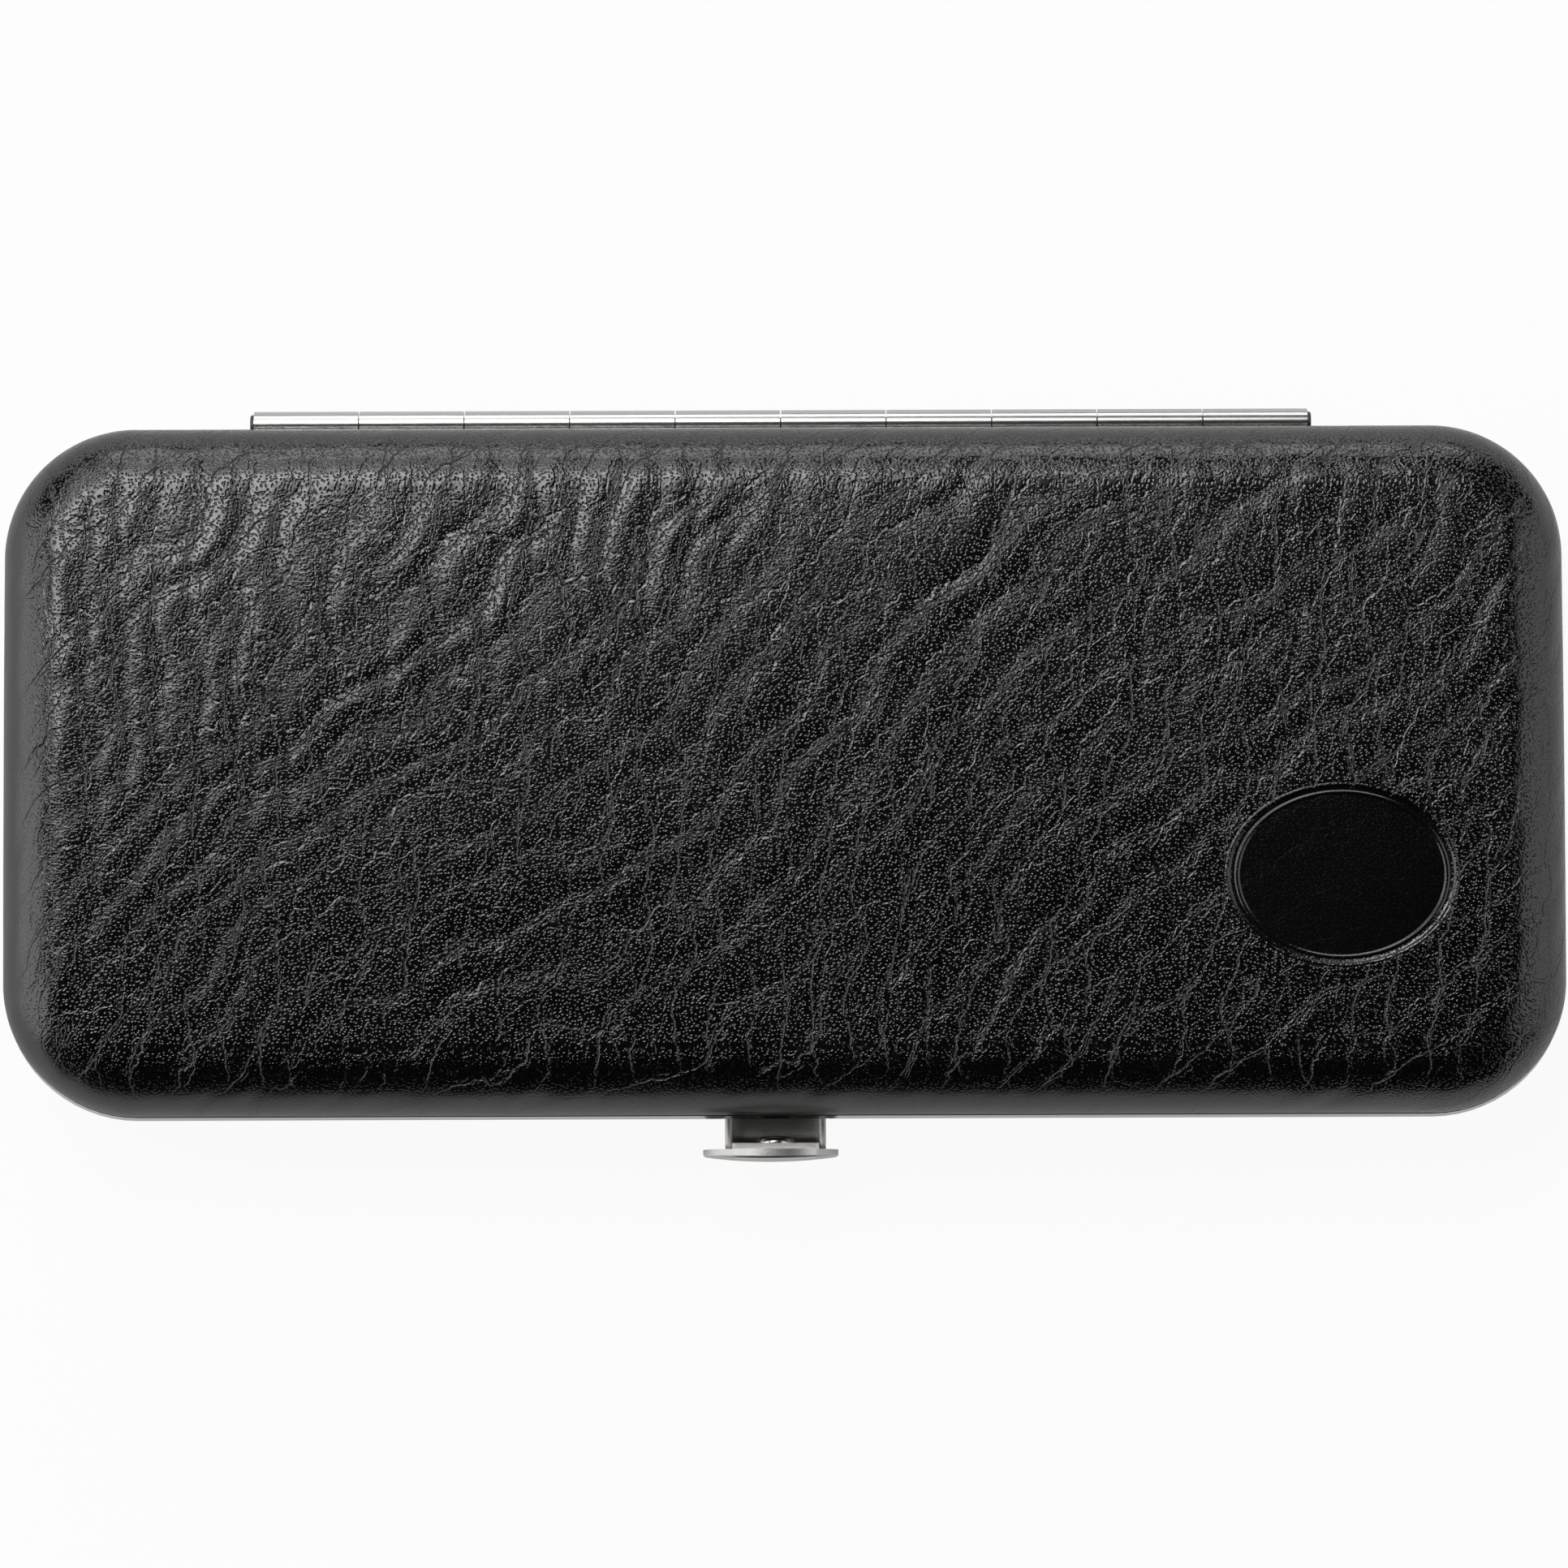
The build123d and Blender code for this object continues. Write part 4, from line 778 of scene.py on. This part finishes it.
def leather_piece(name, form, body, node, seed, cut_of, extra, badged):
    """A half's leather: relief over the top, calm over the turned edge, and a pressed oval on the lid."""
    s = bpy.context.scene.case_leather
    grid = grid_lines(form, s.fine, 1.45 * s.fine, extra)
    kept = {}

    def relief(p, q, points):
        """Puffy cells, less of them near the lip, with the leather's edge turned in at the lip.

        On the base, which rests on its cells, they are let in below the form.
        """
        flat = form.flat
        upright, swept = hide_creases(flat[..., 0], flat[..., 1], seed)
        u, v = flat[..., 0] / MM, flat[..., 1] / MM
        first, second = (
            np.clip(0.55 + 0.4 * waves(u, v, seed + more, 6, 0.1, 0.35), 0.15, 1) for more in (5, 6)
        )
        cells = (1 - first * (1 - bulge(upright))) * (1 - second * (1 - bulge(swept)))
        height = s.puff * (cells - 0.6) + 0.05 * MM * waves(u, v, seed + 9, 6, 0.15, 0.4)
        m = form.depth(p, q)
        lean = -points[..., 0] / form.half_x - points[..., 1] / form.half_y
        front = smooth_step(lean, -0.3, 0.6)
        calm = front * (1 - smooth_step(m, form.wall + 0.3 * form.turn, form.wall + 0.8 * form.turn))
        edge = 1 - smooth_step(m, form.wall + 0.05 * form.turn, form.wall + 0.55 * form.turn)
        if not badged:
            height = height - height.max()
        height = height * (1 - 0.93 * edge)
        badge = np.zeros(p.shape)
        away = np.full(p.shape, FAR_FROM_OVAL)
        if badged:
            away = oval(points[..., 0], points[..., 1])
            badge = 1 - smooth_step(away, -0.5 * MM, 0.1 * MM)
            settled = 1 - smooth_step(away, 0.0, 2.2 * MM)
            height = height * (1 - 0.97 * settled) - BADGE_SUNK * badge
            swell = np.exp(-((away - 0.5 * MM) / (0.45 * MM)) ** 2)
            height = height + BADGE_SWELL * swell
        back = np.clip(TURNED_IN - m, 0, TURNED_IN)
        height = height - (TURNED_IN - np.sqrt(TURNED_IN ** 2 - back ** 2))
        kept.update(upright=upright, swept=swept, smooth=calm, badge=badge)
        kept.update(oval=away / MM, sheet=flat / MM)
        return height

    gauge = bpy.context.scene.case_form.leather
    points, faces, rest = closed_skin(form, *grid, 8, (0, 0), (gauge, gauge), relief, cut_of)
    numbers = {}
    for key, value in kept.items():
        flat = value.reshape(-1, *value.shape[2:])
        numbers[key] = np.concatenate([flat, np.zeros((rest, *value.shape[2:]))])
    return make_piece(name, points, faces, body, "leather", [node], numbers)


def inner_form(node, half, crown_of, corner, edge):
    """The form of a layer inside a half of the case, from its CAD node's box."""
    low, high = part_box(node)
    side = half.half_x - high.x
    lip, top = (low.z, high.z) if half.side > 0 else (high.z, low.z)
    crown = 0.0
    if crown_of:
        bend = half.bend - abs(half.top - top)
        crown = bend - math.sqrt(bend ** 2 - high.y ** 2)
    return Form(high.x, high.y, lip, top, corner - side, edge - side, crown)


def layer_piece(name, form, body, node, slot, thickness, spacing, wave, cut_of, inward, extra=()):
    """A soft layer of the case as a closed skin with slow waves in it."""
    grid = grid_lines(form, spacing, 0.5 * spacing, extra)

    def relief(p, q, points):
        """Slow waves that die out near the lip."""
        m = form.depth(p, q)
        waved = wave * waves(p / MM, q / MM, 51, 8, 0.1, 0.7)
        return waved * smooth_step(m, 0.0, form.reach)

    near, far = ((thickness, thickness), (0, 0)) if inward else ((0, 0), (thickness, thickness))
    points, faces, _ = closed_skin(form, *grid, 4, near, far, relief, cut_of, inward)
    return make_piece(name, points, faces, body, slot, [node])


# Straps

# Spacing of the points along a strap before every other one is kept
STRAP_STEP = 0.12 * MM


def ribbon_path(route, radius):
    """Points along a route with its corners rounded, and their distances along it, all in metres.

    The runs are divided finely and each point is replaced by the mean of its neighbours, weighted by a
    bell curve whose width is the radius. The route's two ends are lengthened for this and cut off after.
    """
    ends = np.array(route, float) * MM
    ahead = (ends[0] - ends[1]) / np.linalg.norm(ends[0] - ends[1])
    behind = (ends[-1] - ends[-2]) / np.linalg.norm(ends[-1] - ends[-2])
    spare = 4 * radius
    ends = np.concatenate([[ends[0] + ahead * spare], ends, [ends[-1] + behind * spare]])
    runs = np.concatenate([[0], np.cumsum(np.linalg.norm(np.diff(ends, axis=0), axis=1))])
    at = np.linspace(0, runs[-1], round(runs[-1] / STRAP_STEP))
    dense = np.stack([np.interp(at, runs, ends[:, axis]) for axis in (0, 1)], -1)
    reach = round(3 * radius / (at[1] - at[0]))
    weight = np.exp(-0.5 * (np.arange(-reach, reach + 1) * (at[1] - at[0]) / radius) ** 2)
    weight = weight / weight.sum()
    smooth = np.stack([np.convolve(dense[:, axis], weight, "same") for axis in (0, 1)], -1)
    inside = (at >= spare) & (at <= runs[-1] - spare)
    path = smooth[inside][::2]
    along = np.concatenate([[0], np.cumsum(np.linalg.norm(np.diff(path, axis=0), axis=1))])
    return path, along


def strap_section(half_width, half_gauge, cords):
    """The strap's section once round: flat sides with a low rib for each cord, and round selvedges."""
    across = np.linspace(-1, 1, 8 * cords + 1) * (half_width - half_gauge)
    rib = 0.86 + 0.14 * np.cos(2 * math.pi * cords * across / (2 * half_width))
    turn = np.linspace(0, math.pi, 7)[1:-1]
    edge_x = half_width - half_gauge + half_gauge * np.sin(turn)
    edge_z = half_gauge * np.cos(turn)
    x = np.concatenate([across, edge_x, across[::-1], -edge_x])
    z = np.concatenate([half_gauge * rib, edge_z, -half_gauge * rib[::-1], -edge_z])
    return x, z


def strap_piece(name, node, body, route):
    """A woven elastic strap along a route of (y, z) in millimetres, as wide as its CAD node."""
    s = bpy.context.scene.case_fabric
    low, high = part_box(node)
    path, along = ribbon_path(route, s.strap_bend)
    ahead = np.gradient(path, axis=0)
    ahead = ahead / np.linalg.norm(ahead, axis=1, keepdims=True)
    up = np.stack([-ahead[:, 1], ahead[:, 0]], -1)
    width, thick = strap_section((high.x - low.x) / 2, s.strap_gauge / 2, s.strap_cords)
    rows, columns = len(path), len(width)
    x = np.broadcast_to((low.x + high.x) / 2 + width, (rows, columns))
    y = path[:, :1] + up[:, :1] * thick
    z = path[:, 1:] + up[:, 1:] * thick
    points = np.stack([x, y, z], -1).reshape(-1, 3)
    sides = quads(rows, columns, closed=True)
    first = np.arange(columns)
    last = first + (rows - 1) * columns
    order = -1 if path[-1, 0] > path[0, 0] else 1
    faces = [face[::order] for face in sides.tolist()]
    faces += [first[::-order].tolist(), last[::order].tolist()]
    numbers = {
        "along": np.repeat(along, columns) / MM,
        "across": np.tile(width, rows) / MM,
    }
    return make_piece(name, points, faces, body, "elastic", [node], numbers, crisp=60.0)


def base_route(node):
    """The route of a strap in the base: down on its seats and up over the tool."""
    s = bpy.context.scene.case_fabric
    low, high = (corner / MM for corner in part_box(node))
    half = s.strap_gauge / 2 / MM
    seat, rise = s.strap_seat / MM, s.strap_rise / MM
    down, up = low.z + half, high.z - half
    near = [(0, down), (seat, down), (seat + rise, up)]
    return [(low.y + y, z) for y, z in near] + [(high.y - y, z) for y, z in near[::-1]]


# The lid straps' route in millimetres: from the back, flat seats and a loop round each tool
LID_ROUTE = (
    (25.98, 16.48), (21.69, 16.48), (20.29, 13.25), (10.89, 13.25), (9.49, 17.17),
    (5.2, 17.17), (3.8, 13.29), (-3.2, 13.29), (-4.6, 17.19), (-8.89, 17.19),
    (-10.29, 11.45), (-20.29, 11.45), (-21.69, 16.48), (-25.98, 16.48),
)


# Radius of the space round the hinge's axis, height of the catch's notch up to the parting and the space
# beside the lever, and the run in which a cut begins and ends
HINGE_RELIEF = 1.5 * MM
NOTCH_DEPTH = 4.57 * MM
NOTCH_ROOM = 0.3 * MM
CUT_STEP = 0.02 * MM


def hinge_cut(form):
    """A cut along the hinge, as long as the hinge's tube and its relief."""
    low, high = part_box("hinge_pin")
    axis_y = (high.y + low.y) / 2
    axis_z = (high.z + low.z) / 2
    rise = math.sqrt(HINGE_RELIEF ** 2 - (axis_y - form.half_y) ** 2) - abs(form.lip - axis_z)

    def cut(p, q):
        inside = (p > low.x) & (p < high.x) & (q > 0)
        return np.where(inside, rise, 0.0)

    return cut, (low.x, low.x + CUT_STEP, high.x - CUT_STEP, high.x)


def nothing(p, q, points=None):
    """No height and no cut anywhere."""
    return 0 * p


def catch_cut(form, other):
    """A cut for the catch's lever in the base's front wall, and another cut elsewhere."""
    low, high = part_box("catch_lever")
    left, right = low.x - NOTCH_ROOM, high.x + NOTCH_ROOM
    notch = form.lip - NOTCH_DEPTH

    def cut(p, q):
        inside = (p > left) & (p < right) & (q < 0)
        return np.where(inside, notch, other(p, q))

    return cut, (left, left + CUT_STEP, right - CUT_STEP, right)


# Operators: one for each piece or group of like pieces


class LidLeather(bpy.types.Operator):
    """Covers the lid with grained leather, with a plain pressed oval near its right end"""

    bl_idname = "manicure_case.lid_leather"
    bl_label = "Lid Leather"

    def execute(self, context):
        form = lid_form()
        cut, extra = hinge_cut(form)
        leather_piece("lid_leather_skin", form, "lid", "lid_leather", 11, cut, extra, True)
        return {"FINISHED"}


class BaseLeather(bpy.types.Operator):
    """Covers the base with grained leather, with a notch for the catch"""

    bl_idname = "manicure_case.base_leather"
    bl_label = "Base Leather"

    def execute(self, context):
        form = base_form()
        hinge, extra = hinge_cut(form)
        cut, more = catch_cut(form, hinge)
        extra = (*extra, *more)
        leather_piece("base_leather_skin", form, "base", "base_leather", 37, cut, extra, False)
        return {"FINISHED"}


class Metalwork(bpy.types.Operator):
    """Nickel plate on the rims, hinge, catch and rivets, and blank steel on the springs and shells"""

    bl_idname = "manicure_case.metalwork"
    bl_label = "Metalwork"

    def execute(self, context):
        for row in frame["record"]["subparts"]:
            name = row["material_slot"]
            if name in ("nickel", "tool_steel", "spring_steel", "shell_steel", "file_grip"):
                dress(row["node"], name)
        dress("file_blade", "grit")
        # The hinge's pin gets painted shade: its steel is darkened so that the gaps between the knuckles
        # read dark
        dress("hinge_pin", "pin")
        for name in ("catch_lever", "thumb_plate"):
            dress(name, "worn_nickel")
        return {"FINISHED"}


class Linings(bpy.types.Operator):
    """Lines both halves with velour, with a notch for the catch in the base"""

    bl_idname = "manicure_case.linings"
    bl_label = "Linings"

    def execute(self, context):
        s = context.scene.case_form
        over = inner_form("lid_lining", lid_form(), True, s.corner, s.lid_edge)
        under = inner_form("base_lining", base_form(), False, s.corner, s.base_edge)
        cut, extra = catch_cut(under, nothing)
        spacing, wave = 0.8 * MM, 0.03 * MM
        for name, form, body, node, notch, more in (
            ("lid_velour", over, "lid", "lid_lining", nothing, ()),
            ("base_velour", under, "base", "base_lining", cut, extra),
        ):
            layer_piece(name, form, body, node, "lining", s.lining, spacing, wave, notch, True, more)
        return {"FINISHED"}


class FoamPad(bpy.types.Operator):
    """Lays the thin foam pad between the lid's leather and its shell"""

    bl_idname = "manicure_case.foam_pad"
    bl_label = "Foam Pad"

    def execute(self, context):
        s = context.scene.case_form
        form = inner_form("lid_padding", lid_form(), True, s.corner, s.lid_edge)
        grid = grid_lines(form, 2 * MM, MM)
        far = (s.pad_side, s.pad_top)
        points, faces, _ = closed_skin(form, *grid, 2, (0, 0), far, nothing, nothing)
        pad = make_piece("lid_foam", points, faces, "lid", "padding", ["lid_padding"])
        return {"FINISHED"}


class Straps(bpy.types.Operator):
    """Weaves the four elastic straps that hold the tools"""

    bl_idname = "manicure_case.straps"
    bl_label = "Straps"

    def execute(self, context):
        for node in ("scissor_strap", "nipper_strap"):
            strap_piece(node + "_woven", node, "base", base_route(node))
        for node in ("lid_strap_left", "lid_strap_right"):
            strap_piece(node + "_woven", node, "lid", LID_ROUTE)
        return {"FINISHED"}


# The key lamp's stacked parts: name, degrees behind straight above, half its spread in degrees, and share
KEY_PARTS = (("key_wide", 36, 24, 0.42), ("key_middle", 25.5, 13.5, 0.35), ("key_core", 18.5, 6.5, 0.95))
KEY_X, KEY_AWAY, KEY_WIDTH = -0.23, 0.87, 0.6
KEY_AIM = (0, 0, 0.02)
SIDE_AIM = (0, 0, 0.2)


class Studio(bpy.types.Operator):
    """A pale floor, soft lamps and a camera that looks down on the case"""

    bl_idname = "manicure_case.studio"
    bl_label = "Studio"

    def lamp(self, name, place, aim, width, depth, brightness):
        """A rectangle of light whose brightness is 1 where it would look white."""
        light = bpy.data.lights.new(name, "AREA")
        light.shape = "RECTANGLE"
        light.size = width
        light.size_y = depth
        light.energy = brightness * math.pi * width * depth
        lamp = bpy.data.objects.new(name, light)
        lamp.location = place
        toward = Vector(aim) - Vector(place)
        lamp.rotation_mode = "QUATERNION"
        lamp.rotation_quaternion = toward.to_track_quat("-Z", "Y")
        bpy.context.scene.collection.objects.link(lamp)

    def execute(self, context):
        s = context.scene.case_studio
        aim = Vector((0, s.aim_y, SKIN_HIGH.z - 0.006))
        lean = math.radians(s.tilt)
        back = Vector((0, -math.sin(lean), math.cos(lean)))
        camera = bpy.data.cameras.new("camera")
        camera.lens = camera.sensor_width * s.distance / s.view_width
        viewer = bpy.data.objects.new("camera", camera)
        viewer.location = aim + back * s.distance
        viewer.rotation_mode = "QUATERNION"
        roll = Quaternion((0, 0, 1), math.radians(s.roll))
        viewer.rotation_quaternion = (-back).to_track_quat("-Z", "Y") @ roll
        context.scene.collection.objects.link(viewer)
        context.scene.camera = viewer

        for name, angle, spread, part in KEY_PARTS:
            turn = math.radians(angle)
            place = (KEY_X, KEY_AWAY * math.sin(turn), KEY_AIM[2] + KEY_AWAY * math.cos(turn))
            depth = 2 * KEY_AWAY * math.tan(math.radians(spread))
            self.lamp(name, place, KEY_AIM, KEY_WIDTH, depth, s.key * part)
        self.lamp("rear_lamp", (0, 0.86, 0.31), KEY_AIM, 0.8, 0.36, s.rear)
        self.lamp("left_lamp", (-0.55, 0, 0.3), SIDE_AIM, 0.6, 0.6, s.left)
        self.lamp("right_lamp", (0.55, 0, 0.34), SIDE_AIM, 0.6, 0.64, s.right)

        world = bpy.data.worlds.new("room")
        world.use_nodes = True
        tree = world.node_tree
        tree.nodes["Background"].inputs["Color"].default_value = (1, 1, 1, 1)
        path = tree.nodes.new("ShaderNodeLightPath")
        plain = tree.nodes.new("ShaderNodeMath")
        plain.operation = "MULTIPLY_ADD"
        plain.inputs[1].default_value = 1 - s.room
        plain.inputs[2].default_value = s.room
        tree.links.new(path.outputs["Is Camera Ray"], plain.inputs[0])
        tree.links.new(plain.outputs[0], tree.nodes["Background"].inputs["Strength"])
        context.scene.world = world

        # White to the camera, fainter in the metal's mirror image, and a plain floor to all other light
        ground = Finish("floor", Roughness=0.9, Base_Color=tuple(s.floor))
        seen = ground.add("ShaderNodeLightPath", output="Is Camera Ray")
        white = ground.add("ShaderNodeEmission", None, {"Color": (1, 1, 1, 1), "Strength": 1.02})
        body = Value(ground, ground.shader.outputs[0])
        glossy = ground.add("ShaderNodeLightPath", output="Is Glossy Ray")
        shown = seen * 0.92 + glossy * 0.22
        mixed = ground.add("ShaderNodeMixShader", None, {0: shown, 1: body, 2: white})
        output = ground.tree.nodes["Material Output"]
        ground.tree.links.new(mixed.socket, output.inputs["Surface"])
        bpy.ops.mesh.primitive_plane_add(size=6)
        floor = context.active_object
        floor.name = "floor"
        floor.data.materials.append(ground.material)
        context.scene.view_settings.view_transform = "Standard"
        return {"FINISHED"}


OPERATORS = (LidLeather, BaseLeather, Metalwork, Linings, FoamPad, Straps, Studio)
SETTINGS = {
    "case_form": CaseFormSettings,
    "case_leather": LeatherSettings,
    "case_metal": MetalSettings,
    "case_fabric": FabricSettings,
    "case_studio": StudioSettings,
}


class CasePanel(bpy.types.Panel):
    """Lists the pieces of the case in the sidebar"""

    bl_idname = "VIEW3D_PT_manicure_case"
    bl_label = "Manicure Case"
    bl_space_type = "VIEW_3D"
    bl_region_type = "UI"
    bl_category = "Manicure Case"

    def draw(self, context):
        for operator in OPERATORS:
            self.layout.operator(operator.bl_idname)
        for name, group in SETTINGS.items():
            box = self.layout.box()
            box.label(text=group.__doc__)
            settings = getattr(context.scene, name)
            for key in group.__annotations__:
                box.prop(settings, key)


def register():
    for item in (*SETTINGS.values(), *OPERATORS, CasePanel):
        bpy.utils.register_class(item)
    for name, group in SETTINGS.items():
        setattr(bpy.types.Scene, name, bpy.props.PointerProperty(type=group))


def unregister():
    for name in SETTINGS:
        delattr(bpy.types.Scene, name)
    for item in (CasePanel, *OPERATORS, *SETTINGS.values()):
        bpy.utils.unregister_class(item)


def main():
    register()
    bpy.ops.manicure_case.lid_leather()
    bpy.ops.manicure_case.base_leather()
    bpy.ops.manicure_case.metalwork()
    bpy.ops.manicure_case.linings()
    bpy.ops.manicure_case.foam_pad()
    bpy.ops.manicure_case.straps()
    bpy.ops.manicure_case.studio()


if __name__ == "__main__":
    main()
